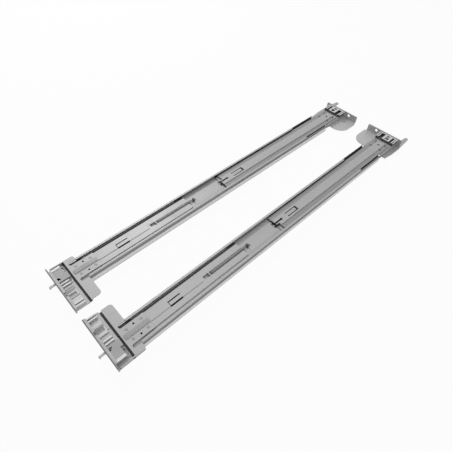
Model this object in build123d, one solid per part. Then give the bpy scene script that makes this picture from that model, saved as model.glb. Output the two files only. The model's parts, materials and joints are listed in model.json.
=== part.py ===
from build123d import *
import os

# A pair of sliding rails for a server, lying on their server side as they come out of the box.
# Millimetres. X runs from the front of the rack to its rear, Y across the pair, Z up from the floor.
# Each rail is drawn once, with X from the outer face of the front flange, Y from the inner end of
# its heads and Z from the floor, and is then placed twice: as it is, and mirrored.

# Reach of the rail in the rack, and the heads at its two ends
RACK_DEPTH = 702.0
HEAD_LENGTH = 88.0
RAIL_GAP = 18.9
FLANGE_TOP = 20.3
FLANGE_BOTTOM = 8.3
FLANGE_STEEL = 2.0
HEAD_STEEL = 1.5

# Rack hole spacing, from the hook to the screw hole of the same unit
OUTER_HOLE_SPACING = 31.75
SCREW_HOLE_RADIUS = 3.2
HOLE_HEIGHT = 14.6

# Mounting channel, which carries the two arms
REAR_HEAD_DEPTH = 66.0
CHANNEL_START = 44.0
CHANNEL_SETBACK = 4.0
CHANNEL_LENGTH = RACK_DEPTH - REAR_HEAD_DEPTH - CHANNEL_SETBACK - CHANNEL_START
CHANNEL_WIDTH = 46.8
CHANNEL_HEIGHT = 7.5
CHANNEL_STEEL = 1.5
CHANNEL_BEND = 3.0
CHANNEL_MIDDLE = 58.9
LIP_WIDTH = 5.0
LIP_CUT_LENGTH = 72.0
TAB_WINDOW_LENGTH = 4.5
FIRST_JOINING_RIVET = 36.0
SEEN_JOINING_RIVET = 3.0
LAST_JOINING_RIVET = 20.0
JOINING_RIVET_SPACING = 152.0
END_GAP = 0.3

# Ball bearing slide under the channel
SLIDE_THICKNESS = 9.5
CABINET_WIDTH = 45.0
CABINET_START = 12.0
CABINET_SETBACK = 6.0
CABINET_LENGTH = RACK_DEPTH - REAR_HEAD_DEPTH - CABINET_SETBACK - CABINET_START
CABINET_WALL = 1.4
MEMBER_WALL = 1.6
MEMBER_STEEL = 1.2
MEMBER_LIFT = 0.6
BUMPER_ROOM = 30.0
INTERMEDIATE_LENGTH = CABINET_LENGTH - BUMPER_ROOM
INNER_START = 6.0
INNER_SHORTENING = 4.0
INNER_LENGTH = INTERMEDIATE_LENGTH - INNER_SHORTENING
INNER_HEIGHT = 4.9
BALL_RADIUS = 1.75
RACE_CLEARANCE = 0.25
WALL_TO_BALL = 1.55
OUTER_BALL_HEIGHT = 4.4
INNER_BALL_HEIGHT = 3.0
BALL_PITCH = 76.0
BALL_FLATS = 0.94
CAGE_LENGTH = 252.0
BALLS_IN_ROW = int(CAGE_LENGTH / BALL_PITCH) + 1
CAGE_STEEL = 0.5
CAGE_GAP = 0.3
CAGE_HOLE_CLEARANCE = 0.1
CAGE_BRIDGE = 18.0
CAGE_MARGIN = 6.0
CAGE_LEG_LIFT = 1.2

# Telescoping arms
SLIDING_GAP = 0.3
ARM_FLANGE_STEEL = 1.2
ARM_STEEL = 1.5
ARM_HALF_WIDTH = 21.0
FRONT_ARM_START = 31.0
FRONT_ARM_LENGTH = 220.0
FRONT_ARM_TOP = 14.0
FRONT_ARM_HALF_CROWN = 14.0
FRONT_RIDGE_HALF = 3.6
FRONT_RIDGE_RISE = 0.8
TONGUE_RIDGE_RISE = 1.2
FRONT_RIDGE_ROOT = 0.5
FRONT_RIDGE_SETBACK = 14.0
SLIT_AT = 115.0
SLIT_LENGTH = 22.0
SLIT_WIDTH = 2.0
SLIT_OFFSET = 4.0
SLIT_CROSS_CUT = 0.8
TRACK_RIB = 1.0
TRACK_RIB_AT = 18.2
TRACK_RIB_TOP = 14.2
TRACK_RIB_FRONT_SETBACK = 20.0
TRACK_RIB_REAR_SETBACK = 18.0
HOOK_WINDOW_LENGTH = 10.0
TROUGH_CLEARANCE = 0.5
REAR_ARM_START = 330.0
REAR_ARM_SETBACK = 30.0
REAR_ARM_LENGTH = RACK_DEPTH - REAR_ARM_SETBACK - REAR_ARM_START
REAR_ARM_TOP = 15.3
REAR_ARM_HALF_BAND = 8.3
REAR_ARM_HALF_WEB = 17.2
REAR_ARM_SHOULDER = 13.9
LOCK_SLOT_LENGTH = 16.0
LOCK_SLOT_HALF = 1.5
LOCK_SLOT_END_RADIUS = 2.4
REAR_ARM_STEP = 7.0
REAR_ARM_STEP_AT = 3.5
LANCE_AT = 30.0
LANCE_LENGTH = 27.0
LANCE_END_CUT = 3.0
LANCE_HALF = 4.5
LANCE_SIDE_CUT = 1.2

# Front bracket
PLATE_START = 26.7
PLATE_INNER_END = 2.4
PLATE_OVERHANG = 1.0
WING_RADIUS = 5.5
OUTER_CORNER_RADIUS = 4.0
FLANGE_CORNER_RADIUS = 2.0
FLANGE_OVERHANG = 2.0
TONGUE_LENGTH = 25.0
TONGUE_INNER_EDGE = 44.1
TONGUE_OUTER_EDGE = 73.7
TRACK_SLOT_START = 31.0
TRACK_SLOT_WIDTH = 6.0
HEAD_FLOOR_GAP = 0.3
RIDGE_START_SETBACK = 3.0
FRONT_RIVET_INSET = 11.0
FRONT_RIVET_END_INSET = 7.0
FRONT_RIVET_OFFSET = 8.6
GAUGE_HOLE_OFFSET = 9.6

# Rear bracket
REAR_PLATE_START = RACK_DEPTH - REAR_HEAD_DEPTH
REAR_PLATE_HALF = 21.0
REAR_FLANGE_INNER_END = 6.4
WING_TOP = 6.4
WING_SETBACK = 9.0
REAR_WING_RADIUS = 24.0
REAR_WING_BACK_RADIUS = 8.0
REAR_WING_INNER_END = 3.5
TAB_TOP = 4.7
TAB_REACH = 40.0
TAB_WIDTH = 10.6
TAB_STRIP_WIDTH = 12.2
TAB_TAPER = 3.0
TAB_TAPER_LENGTH = 26.0
TAB_TIP_RADIUS = 3.5
TAB_SETBACK = 8.0
TAB_BACK_INSET = 6.0
TAB_NECK_REACH = 12.0
GUIDE_HOLE_RADIUS = 2.2
GUIDE_HOLE_SETBACK = 44.3
REAR_RIVET_SETBACK = 36.1
REAR_RIVET_SPACING = 19.1
REAR_RIVET_OFFSET = 11.2

# Latch housings and latches
HOUSING_START = 5.0
HOUSING_LENGTH = 18.2
COMB_END = 18.8
HOUSING_FLOOR = 13.4
HOUSING_INNER_END = 1.0
HOUSING_OUTER_INSET = 5.8
BACK_DIP = (32.4, 47.6)
BACK_DIP_DEPTH = 0.8
HOUSING_RIM_DROP = 0.6
RIB_WIDTH = 2.2
REAR_RIB_TOP = 19.0
ROOF_TOP = 18.9
ROOF_STEEL = 0.8
ROOF = (55.2, 78.1)
BACK_ROOF = (55.2, 66.6)
RIM_NOTCH = (26.4, 34.6)
RIM_NOTCH_DEPTH = 2.4
SCREW_ROOM_CLEARANCE = 0.8
SCREW_ROOM_TOP = 18.4
SCREW_ROOM_SETBACK = 6.0
ROOF_WINDOW = ((5.4, 58.8), (10.2, 58.8), (10.2, 60.2), (7.2, 63.3), (5.4, 63.3))
ROOF_WINDOW_LOW = 12.2
TRIGGER_SLOT_AT = (20.9, 75.3)
TRIGGER_SLOT_SIZE = (3.0, 12.0)
TRIGGER_SLOT_CHAMFER = 1.0
# Across the head: each thin rib's middle and top, and each ledge's two edges and its top
FRONT_RIBS = ((4.1, 19.6), (9.0, 19.6), (46.0, 18.0), (51.5, 18.0))
FRONT_LEDGES = (
    (12.6, 21.0, 15.6),
    (21.0, 22.9, 16.6),
    (36.2, 37.8, 16.4),
    (39.6, 44.0, 16.0),
)
END_WALL_WIDTH = 4.1
END_WALL_TOP = 19.6
REAR_RIBS = (39.4, 43.2, 74.8, 78.6)
REAR_ROOF = (52.4, 69.0)
REAR_HOUSING_FLOOR = 13.8
REAR_HOUSING_INNER_END = 38.4
REAR_RIM_DROP = 1.4
REAR_SPRING_WINDOW = (12.8, 21.0, 57.0, 64.8)
REAR_HOOK_WINDOW = (5.8, 10.8, 57.0, 63.0)
REAR_WINDOW_LIFT = 0.8
HOOK_WIDTH = 3.0
HOOK_CLEARANCE = 0.4
FRONT_HOOK_REACH = 9.5
REAR_HOOK_REACH = 4.2
HOOK_PIVOT_DEPTH = 17.0
HOOK_PIVOT_HEIGHT = 14.4
HOOK_BAR = 2.2
HOOK_HUB_RADIUS = 2.9
HOOK_DROP = 0.6
HOOK_TAIL_LENGTH = 4.6
HOOK_TAIL_LOW = -1.6
HOOK_TAIL_HIGH = 0.2
CLAW_LENGTH = 2.6
CLAW_DROP = 1.5
CLAW_TIP_DROP = 2.2
HOOK_ROOM = 4.6
HOOK_TAIL_ROOM = 6.4
LATCH_SLOT_LIFT = 1.2
LATCH_SLOT_HEIGHT = 6.4
LATCH_SLOT_CLEARANCE = 0.8
LATCH_PIN_SEAT = 1.4
LATCH_PIN_RADIUS = 1.4
PIN_RUNNING_CLEARANCE = 0.06
TORSION_SPRING_WIRE = 0.7
TORSION_SPRING_LENGTH = 3.6
TORSION_SPRING_CLEARANCE = 0.25
TORSION_SPRING_LEG = 4.2

# Fasteners, springs and small parts
RIVET_HEAD_RADIUS = 2.4
RIVET_SHANK_RADIUS = 1.5
RIVET_HEAD_RISE = 0.5
RIVET_HEAD_TAPER = 30.0
SMALL_ROUND_SIDES = 8
PIN_SIDES = 12
GAUGE_HOLE_RADIUS = 1.5
STAKE_HEAD_RISE = 0.8
SPRING_RADIUS = 2.4
SPRING_WIRE = 0.5
SPRING_HEIGHT = 13.8
SPRING_HOOK_RISE = 1.9
SPRING_SETBACK = 5.0
SPRING_END_SETBACK = 6.0
FRONT_SPRING_TAB = 179.0
REAR_SPRING_TAB_GAP = 11.0
SPRING_TAB_WIDTH = 6.4
SPRING_TAB_TOP = 16.0
SPRING_TAB_CHAMFER = 1.2
SPRING_HOLE_CLEARANCE = 0.5
BUMPER_LENGTH = 9.0
BUMPER_CHAMFER = 1.5
LEVER_LENGTH = 66.0
LEVER_WIDTH = 7.0
LEVER_SHIFT = 13.2
LEVER_STEEL = 1.5
LEVER_AT = 330.0
LEVER_HUB_RADIUS = 6.0
LEVER_THUMB_LENGTH = 9.8
LEVER_THUMB_WIDTH = 4.2
LEVER_THUMB_RISE = 1.2
LEVER_PIN_RADIUS = 2.0
LEVER_PIN_LIP = 1.4
LEVER_PIN_HEAD = 0.8
CHASSIS_HOLE_RADIUS = 2.25
CHASSIS_HOLE_SPACING = 240.0
CHASSIS_HOLE_FIRST = 60.0
CHASSIS_HOLE_MARGIN = 30.0
KEYHOLE_FIRST = 20.0
KEYHOLE_SPACING = 165.0
KEYHOLE_RADIUS = 4.2
KEYHOLE_SLOT = 2.3
KEYHOLE_SLOT_LENGTH = 9.0

# Worked out from the sizes above
PLATE_OUTER_END = HEAD_LENGTH + PLATE_OVERHANG
TAB_INNER_EDGE = CHANNEL_MIDDLE + REAR_PLATE_HALF - HEAD_STEEL
TAB_OUTER_EDGE = TAB_INNER_EDGE + TAB_STRIP_WIDTH
HOUSING_OUTER_END = HEAD_LENGTH - HOUSING_OUTER_INSET
GUIDE_HOLE_AT = RACK_DEPTH - GUIDE_HOLE_SETBACK
CHANNEL_END = CHANNEL_START + CHANNEL_LENGTH
CHANNEL_HALF = CHANNEL_WIDTH / 2
CHANNEL_TOP = SLIDE_THICKNESS + CHANNEL_HEIGHT
WEB_TOP = SLIDE_THICKNESS + CHANNEL_STEEL
ARM_BOTTOM = WEB_TOP + SLIDING_GAP
ARM_FLANGE_TOP = ARM_BOTTOM + ARM_FLANGE_STEEL
FRONT_ARM_END = FRONT_ARM_START + FRONT_ARM_LENGTH
REAR_ARM_END = REAR_ARM_START + REAR_ARM_LENGTH
REAR_SPRING_TAB = FRONT_ARM_END + REAR_SPRING_TAB_GAP
SPRING_START = FRONT_SPRING_TAB + SPRING_SETBACK
SPRING_END = REAR_SPRING_TAB - SPRING_END_SETBACK
PLATE_TOP = FRONT_ARM_TOP + HEAD_STEEL
PLATE_END = CHANNEL_START - END_GAP
TONGUE_END = CHANNEL_START + TONGUE_LENGTH
HEAD_FLOOR = SLIDE_THICKNESS + HEAD_FLOOR_GAP
HEAD_FLOOR_TOP = HEAD_FLOOR + HEAD_STEEL
SCREW_HOLE_AT = CHANNEL_MIDDLE - OUTER_HOLE_SPACING
HOUSING_END = HOUSING_START + HOUSING_LENGTH
REAR_PLATE_TOP = REAR_ARM_SHOULDER - ARM_STEEL
CABINET_HALF = CABINET_WIDTH / 2
CABINET_WEB = SLIDE_THICKNESS - MEMBER_STEEL
OUTER_BALL_AT = CABINET_HALF - CABINET_WALL - WALL_TO_BALL
INTERMEDIATE_HALF = OUTER_BALL_AT - WALL_TO_BALL
INTERMEDIATE_TOP = CABINET_WEB - CAGE_GAP * 2 - CAGE_STEEL
INTERMEDIATE_WEB = INTERMEDIATE_TOP - MEMBER_STEEL
INNER_BALL_AT = INTERMEDIATE_HALF - MEMBER_WALL - WALL_TO_BALL
INNER_HALF = INNER_BALL_AT - WALL_TO_BALL
CAGE_START = CABINET_START + INTERMEDIATE_LENGTH / 2 - CAGE_LENGTH / 2
BUMPER_START = CABINET_START + INTERMEDIATE_LENGTH + 2 * END_GAP
X_SHIFT = (FRONT_HOOK_REACH - RACK_DEPTH - TAB_REACH) / 2
Y_SHIFT = RAIL_GAP / 2


def span(a0, a1, b0, b1):
    """A rectangle of a section between two pairs of limits."""
    return Pos((a0 + a1) / 2, (b0 + b1) / 2) * Rectangle(a1 - a0, b1 - b0)


def both(near, far, low, high):
    """The same strip of a section on both sides of its middle."""
    return span(near, far, low, high) + span(-far, -near, low, high)


def along_x(section, x0, x1):
    """A section drawn in Y and Z, drawn out along X."""
    return extrude(Plane.YZ.offset(x0) * section, amount=x1 - x0)


def along_y(section, y0, y1):
    """A section drawn in X and Z, drawn out along Y."""
    return extrude(Plane.XZ.offset(-y0) * section, amount=y0 - y1)


def upward(outline, z0, z1):
    """An outline drawn in X and Y, raised between two heights."""
    return extrude(Plane.XY.offset(z0) * outline, amount=z1 - z0)


def on_middle(section):
    """A section drawn about its own middle, moved to the middle of the channel."""
    return Pos(CHANNEL_MIDDLE, 0) * section


def drill(x, y, radius, z0, z1):
    """A round upright pin, or the tool for a hole."""
    return upward(Pos(x, y) * Circle(radius), z0, z1)


def peg(x, y, radius, z0, z1):
    """A small upright pin, or its hole, with few sides."""
    return upward(Pos(x, y) * RegularPolygon(radius, SMALL_ROUND_SIDES), z0, z1)


def pin_outline(radius):
    """A pin's round outline, with few sides."""
    return RegularPolygon(radius, PIN_SIDES)


def pin_hole(radius):
    """Outline of the hole that such a pin runs in: its flats stand clear of the pin's corners."""
    return RegularPolygon(radius + PIN_RUNNING_CLEARANCE, PIN_SIDES, major_radius=False)


def spread(middle, count, pitch):
    """Even places about a middle."""
    return [middle + (i - (count - 1) / 2) * pitch for i in range(count)]


def rivet(x, y, low, face, rise):
    """A rivet with a low domed head on a face and its shank down to the lower face."""
    dome = extrude(
        Plane.XY.offset(face) * Pos(x, y) * RegularPolygon(RIVET_HEAD_RADIUS, SMALL_ROUND_SIDES),
        amount=rise,
        taper=RIVET_HEAD_TAPER,
    )
    return dome + peg(x, y, RIVET_SHANK_RADIUS, low, face)


def joining_rivets():
    """Places of the rivets that join the channel to the slide."""
    last = CHANNEL_END - LAST_JOINING_RIVET
    return [
        CHANNEL_START + FIRST_JOINING_RIVET,
        REAR_ARM_START - SEEN_JOINING_RIVET,
        last - JOINING_RIVET_SPACING,
        last,
    ]


def main_channel():
    """Rolled channel, open upwards, whose lips hold the two arms down."""
    middle = SLIDE_THICKNESS + CHANNEL_HEIGHT / 2
    shell = Pos(0, middle) * RectangleRounded(CHANNEL_WIDTH, CHANNEL_HEIGHT, CHANNEL_BEND)
    shell -= Pos(0, middle) * Rectangle(
        CHANNEL_WIDTH - 2 * CHANNEL_STEEL, CHANNEL_HEIGHT - 2 * CHANNEL_STEEL
    )
    mouth = CHANNEL_HALF - LIP_WIDTH
    shell -= span(-mouth, mouth, WEB_TOP, CHANNEL_TOP + 1)
    channel = along_x(on_middle(shell), CHANNEL_START, CHANNEL_END)
    free = CHANNEL_HALF - CHANNEL_STEEL
    lip_cut = on_middle(span(-free, free, CHANNEL_TOP - CHANNEL_STEEL, CHANNEL_TOP + 1))
    channel -= along_x(lip_cut, CHANNEL_END - LIP_CUT_LENGTH, CHANNEL_END + 1)
    channel += spring_tab(REAR_SPRING_TAB, WEB_TOP)
    window = REAR_SPRING_TAB + CHANNEL_STEEL
    half = SPRING_TAB_WIDTH / 2
    channel -= upward(
        span(window, window + TAB_WINDOW_LENGTH, CHANNEL_MIDDLE - half, CHANNEL_MIDDLE + half),
        SLIDE_THICKNESS,
        WEB_TOP,
    )
    for x in joining_rivets():
        channel -= peg(x, CHANNEL_MIDDLE, RIVET_SHANK_RADIUS, SLIDE_THICKNESS, WEB_TOP)
    return channel


def spring_tab(x, foot):
    """A tab bent up out of a web, with the hole that a hook of the tension spring goes through."""
    half = SPRING_TAB_WIDTH / 2
    tab = span(-half, half, foot, SPRING_TAB_TOP)
    tab = chamfer(tab.vertices().group_by(Axis.Y)[-1], SPRING_TAB_CHAMFER)
    tab -= Pos(0, SPRING_HEIGHT) * RegularPolygon(SPRING_WIRE + SPRING_HOLE_CLEARANCE, 8)
    return along_x(on_middle(tab), x, x + CHANNEL_STEEL)


def tension_spring():
    """Close-wound spring with a hooked wire at each end, behind its tab."""
    low = SPRING_HEIGHT
    coil = Pos(0, low) * RegularPolygon(SPRING_RADIUS, SMALL_ROUND_SIDES)
    coil = along_x(on_middle(coil), SPRING_START, SPRING_END)
    front = FRONT_SPRING_TAB - 2 * SPRING_WIRE
    rear = REAR_SPRING_TAB + CHANNEL_STEEL + 2 * SPRING_WIRE
    wire = on_middle(Pos(0, low) * RegularPolygon(SPRING_WIRE, 8, rotation=22.5))
    coil += along_x(wire, front, rear)
    half = SPRING_WIRE
    for x in (front, rear):
        hook = span(x - half, x + half, CHANNEL_MIDDLE - half, CHANNEL_MIDDLE + half)
        coil += upward(hook, low - half, low + SPRING_HOOK_RISE)
    return coil


def channel_rivets():
    """Rivets through the channel's web and the slide's cabinet member."""
    return [
        rivet(x, CHANNEL_MIDDLE, CABINET_WEB, WEB_TOP, STAKE_HEAD_RISE) for x in joining_rivets()
    ]


def race(at, height):
    """The round groove of a ball race, on both sides of a section."""
    circle = Circle(BALL_RADIUS + RACE_CLEARANCE)
    return Pos(at, height) * circle + Pos(-at, height) * circle


def folded_member(half, wall, low, web, top):
    """Section of a slide member that is open downwards."""
    return both(half - wall, half, low, top) + span(-half, half, web, top)


def cabinet_member():
    """Fixed member of the slide, riveted under the channel."""
    section = folded_member(
        CABINET_HALF, CABINET_WALL, MEMBER_LIFT, CABINET_WEB, SLIDE_THICKNESS
    )
    section -= race(OUTER_BALL_AT, OUTER_BALL_HEIGHT)
    member = along_x(on_middle(section), CABINET_START, CABINET_START + CABINET_LENGTH)
    for x in joining_rivets():
        member -= peg(x, CHANNEL_MIDDLE, RIVET_SHANK_RADIUS, CABINET_WEB, SLIDE_THICKNESS)
    return member


def intermediate_member():
    """Middle member of the slide, with a race on both faces of its walls."""
    section = folded_member(
        INTERMEDIATE_HALF, MEMBER_WALL, MEMBER_LIFT, INTERMEDIATE_WEB, INTERMEDIATE_TOP
    )
    section -= race(OUTER_BALL_AT, OUTER_BALL_HEIGHT)
    section -= race(INNER_BALL_AT, INNER_BALL_HEIGHT)
    end = CABINET_START + INTERMEDIATE_LENGTH
    return along_x(on_middle(section), CABINET_START, end)


def chassis_holes():
    """Places of the screw holes for the server's side."""
    return row_along(CHASSIS_HOLE_FIRST, CHASSIS_HOLE_SPACING, CHASSIS_HOLE_MARGIN)


def row_along(first, spacing, margin):
    """Places from a first one on the inner member to a margin before its end."""
    count = int((INNER_LENGTH - margin - first) / spacing) + 1
    return [INNER_START + first + i * spacing for i in range(count)]


def inner_member():
    """Member that is fixed to the server, with keyholes and screw holes in its web."""
    section = both(INNER_HALF - MEMBER_WALL, INNER_HALF, 0, INNER_HEIGHT)
    section += span(-INNER_HALF, INNER_HALF, 0, MEMBER_STEEL)
    section -= race(INNER_BALL_AT, INNER_BALL_HEIGHT)
    member = along_x(on_middle(section), INNER_START, INNER_START + INNER_LENGTH)
    for x in chassis_holes():
        member -= drill(x, CHANNEL_MIDDLE, CHASSIS_HOLE_RADIUS, 0, MEMBER_STEEL)
    for x in row_along(KEYHOLE_FIRST, KEYHOLE_SPACING, CHASSIS_HOLE_MARGIN):
        keyhole = Pos(x, CHANNEL_MIDDLE) * RegularPolygon(KEYHOLE_RADIUS, SMALL_ROUND_SIDES)
        keyhole += span(
            x,
            x + KEYHOLE_SLOT_LENGTH,
            CHANNEL_MIDDLE - KEYHOLE_SLOT,
            CHANNEL_MIDDLE + KEYHOLE_SLOT,
        )
        member -= upward(keyhole, 0, MEMBER_STEEL)
    pin = Pos(LEVER_AT, CHANNEL_MIDDLE) * pin_outline(LEVER_PIN_RADIUS)
    return member - upward(pin, 0, MEMBER_STEEL)


def ball_places():
    """Places of the balls of one row."""
    return spread(CAGE_START + CAGE_LENGTH / 2, BALLS_IN_ROW, BALL_PITCH)


def ball_cage(ball_at, ball_height, top, low):
    """Thin folded cage with a row of ball holes in each leg and windows in its web."""
    half = ball_at + CAGE_STEEL / 2
    section = both(half - CAGE_STEEL, half, low, top)
    section += span(-half, half, top - CAGE_STEEL, top)
    cage = along_x(on_middle(section), CAGE_START, CAGE_START + CAGE_LENGTH)
    hole = BALL_RADIUS + CAGE_HOLE_CLEARANCE
    pocket = span(-hole, hole, ball_height - hole, ball_height + hole)
    for x in ball_places():
        cage -= along_y(Pos(x, 0) * pocket, CHANNEL_MIDDLE - half, CHANNEL_MIDDLE + half)
    window_half = half - CAGE_MARGIN
    for x in spread(CAGE_START + CAGE_LENGTH / 2, BALLS_IN_ROW - 1, BALL_PITCH):
        cage -= upward(
            Pos(x, CHANNEL_MIDDLE) * Rectangle(BALL_PITCH - CAGE_BRIDGE, 2 * window_half),
            top - CAGE_STEEL,
            top,
        )
    return cage


def outer_ball_cage():
    top = CABINET_WEB - CAGE_GAP
    return ball_cage(OUTER_BALL_AT, OUTER_BALL_HEIGHT, top, MEMBER_LIFT + CAGE_LEG_LIFT)


def inner_ball_cage():
    top = INTERMEDIATE_WEB - CAGE_GAP
    return ball_cage(INNER_BALL_AT, INNER_BALL_HEIGHT, top, MEMBER_LIFT)


def ball():
    """One steel ball, cut out of three crossed bars so that it has few faces."""
    bar = RegularPolygon(BALL_RADIUS * BALL_FLATS, 8, major_radius=False, rotation=22.5)
    across = [
        extrude(plane * bar, amount=BALL_RADIUS, both=True)
        for plane in (Plane.XY, Plane.YZ, Plane.XZ)
    ]
    return across[0] & across[1] & across[2]


def balls(at, height):
    """The balls of both rows of one cage."""
    one = ball()
    return [
        Pos(x, CHANNEL_MIDDLE + side * at, height) * one
        for x in ball_places()
        for side in (-1, 1)
    ]


def outer_balls():
    return balls(OUTER_BALL_AT, OUTER_BALL_HEIGHT)


def inner_balls():
    return balls(INNER_BALL_AT, INNER_BALL_HEIGHT)


def slide_bumper():
    """Rubber stop at the rear of the cabinet member."""
    low = MEMBER_LIFT
    outline = chamfer(Rectangle(BUMPER_LENGTH, 2 * INNER_HALF).vertices(), BUMPER_CHAMFER)
    return upward(
        Pos(BUMPER_START + BUMPER_LENGTH / 2, CHANNEL_MIDDLE) * outline, low, CABINET_WEB
    )


def release_lever():
    """Flat lever on the inner member that frees it from the intermediate member."""
    low = MEMBER_STEEL + SLIDING_GAP
    top = low + LEVER_STEEL
    bar = Rectangle(LEVER_LENGTH, LEVER_WIDTH)
    outline = Pos(LEVER_SHIFT, 0) * chamfer(bar.vertices(), LEVER_WIDTH / 4)
    outline += RegularPolygon(LEVER_HUB_RADIUS, SMALL_ROUND_SIDES)
    outline -= pin_hole(LEVER_PIN_RADIUS)
    lever = upward(Pos(LEVER_AT, CHANNEL_MIDDLE) * outline, low, top)
    tip = LEVER_AT + LEVER_SHIFT + LEVER_LENGTH / 2 - LEVER_WIDTH
    thumb = Pos(tip, CHANNEL_MIDDLE) * Rectangle(LEVER_THUMB_LENGTH, LEVER_THUMB_WIDTH)
    return lever + upward(thumb, top, top + LEVER_THUMB_RISE)


def release_lever_pin():
    """Shouldered pin that the lever turns on, staked in the inner member's web."""
    low = MEMBER_STEEL + 2 * SLIDING_GAP + LEVER_STEEL
    pin = upward(Pos(LEVER_AT, CHANNEL_MIDDLE) * pin_outline(LEVER_PIN_RADIUS), 0, low)
    head = LEVER_PIN_RADIUS + LEVER_PIN_LIP
    return pin + peg(LEVER_AT, CHANNEL_MIDDLE, head, low, low + LEVER_PIN_HEAD)


def arm_flanges(inside):
    """The two low flanges of an arm that run under the channel's lips."""
    return both(inside, ARM_HALF_WIDTH, ARM_BOTTOM, ARM_FLANGE_TOP)


def front_arm():
    """Front arm: a crowned strip with low flanges, slotted for the tension spring."""
    crown = FRONT_ARM_HALF_CROWN
    section = span(-crown, crown, FRONT_ARM_TOP - ARM_STEEL, FRONT_ARM_TOP)
    section += both(crown - ARM_STEEL, crown, ARM_BOTTOM, FRONT_ARM_TOP)
    section += arm_flanges(crown - ARM_STEEL)
    arm = along_x(on_middle(section), FRONT_ARM_START, FRONT_ARM_END)
    ribs = both(TRACK_RIB_AT - TRACK_RIB / 2, TRACK_RIB_AT + TRACK_RIB / 2, ARM_BOTTOM, TRACK_RIB_TOP)
    ribs_start = FRONT_ARM_START + TRACK_RIB_FRONT_SETBACK
    arm += along_x(on_middle(ribs), ribs_start, FRONT_ARM_END - TRACK_RIB_REAR_SETBACK)
    ridge = FRONT_RIDGE_HALF
    root = FRONT_ARM_TOP - FRONT_RIDGE_ROOT
    raised = on_middle(span(-ridge, ridge, root, FRONT_ARM_TOP + FRONT_RIDGE_RISE))
    arm += along_x(raised, TONGUE_END + END_GAP, FRONT_SPRING_TAB - FRONT_RIDGE_SETBACK)
    y = CHANNEL_MIDDLE
    low, high = ARM_BOTTOM, FRONT_ARM_TOP + 1
    for side in (-1, 1):
        slit = Pos(SLIT_AT, y + side * SLIT_OFFSET) * Rectangle(SLIT_LENGTH, SLIT_WIDTH)
        arm -= upward(slit, low, high)
    slit_start = SLIT_AT - SLIT_LENGTH / 2
    cross = span(slit_start, slit_start + SLIT_CROSS_CUT, y - SLIT_OFFSET, y + SLIT_OFFSET)
    arm -= upward(cross, low, high)
    half = SPRING_TAB_WIDTH / 2
    window_start = FRONT_SPRING_TAB - HOOK_WINDOW_LENGTH
    arm -= upward(span(window_start, FRONT_SPRING_TAB, y - half, y + half), low, high)
    trough = SPRING_RADIUS + TROUGH_CLEARANCE
    trough_start = FRONT_SPRING_TAB + CHANNEL_STEEL + ARM_STEEL
    arm -= upward(span(trough_start, FRONT_ARM_END + 1, y - trough, y + trough), low, high)
    wire_room = SPRING_WIRE + SPRING_HOLE_CLEARANCE
    wire_path = span(FRONT_SPRING_TAB, trough_start, y - wire_room, y + wire_room)
    arm -= upward(wire_path, low, high)
    arm += spring_tab(FRONT_SPRING_TAB, FRONT_ARM_TOP - ARM_STEEL)
    for x, across in front_rivet_places():
        arm -= peg(x, across, RIVET_SHANK_RADIUS, low, high)
    for x, across in gauge_holes():
        arm -= peg(x, across, GAUGE_HOLE_RADIUS, low, high)
    return arm


def front_rivet_places():
    """Rivets that join the front bracket's tongue to the front arm."""
    first = PLATE_START + FRONT_RIVET_INSET
    last = TONGUE_END - FRONT_RIVET_END_INSET
    return [
        (x, CHANNEL_MIDDLE + side * FRONT_RIVET_OFFSET) for x in (first, last) for side in (-1, 1)
    ]


def gauge_holes():
    """Small holes between the front rivets."""
    middle = (PLATE_START + FRONT_RIVET_INSET + TONGUE_END - FRONT_RIVET_END_INSET) / 2
    return [(middle, CHANNEL_MIDDLE + side * GAUGE_HOLE_OFFSET) for side in (-1, 1)]


def front_rivets():
    low = FRONT_ARM_TOP - ARM_STEEL
    return [rivet(x, y, low, PLATE_TOP, RIVET_HEAD_RISE) for x, y in front_rivet_places()]


def rear_arm():
    """Rear arm: a stepped strip with a raised band, a lock slot and a lanced tongue."""
    band, web = REAR_ARM_HALF_BAND, REAR_ARM_HALF_WEB
    shoulder_low = REAR_ARM_SHOULDER - ARM_STEEL
    section = span(-band, band, REAR_ARM_SHOULDER, REAR_ARM_TOP)
    section += both(band - ARM_STEEL, web, shoulder_low, REAR_ARM_SHOULDER)
    section += both(web - ARM_STEEL, web, ARM_BOTTOM, REAR_ARM_SHOULDER)
    section += arm_flanges(web - ARM_STEEL)
    arm = along_x(on_middle(section), REAR_ARM_START, REAR_ARM_END)
    low, high = ARM_BOTTOM, REAR_ARM_TOP + 1
    y = CHANNEL_MIDDLE
    flange_cut = on_middle(both(web, ARM_HALF_WIDTH + 1, low, high))
    arm -= along_x(flange_cut, CHANNEL_END - LIP_CUT_LENGTH, REAR_ARM_END + 1)
    foot_cut = on_middle(both(web - ARM_STEEL, web + 1, low - 1, shoulder_low))
    arm -= along_x(foot_cut, REAR_PLATE_START - END_GAP, REAR_ARM_END + 1)
    lock_end = REAR_ARM_START + LOCK_SLOT_LENGTH
    lock = span(REAR_ARM_START - 1, lock_end, y - LOCK_SLOT_HALF, y + LOCK_SLOT_HALF)
    lock += Pos(lock_end, y) * RegularPolygon(LOCK_SLOT_END_RADIUS, SMALL_ROUND_SIDES)
    arm -= upward(lock, low, high)
    step_end = REAR_ARM_START + REAR_ARM_STEP
    far_edge = y + ARM_HALF_WIDTH + 1
    step = span(REAR_ARM_START - 1, step_end, y + REAR_ARM_STEP_AT, far_edge)
    arm -= upward(step, low, high)
    arm -= upward(Pos(REAR_ARM_START + LANCE_AT, y) * lance(), low, high)
    for x, across in rear_rivet_places():
        arm -= peg(x, across, RIVET_SHANK_RADIUS, low, high)
    return arm - peg(GUIDE_HOLE_AT, y, GUIDE_HOLE_RADIUS, low, high)


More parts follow.
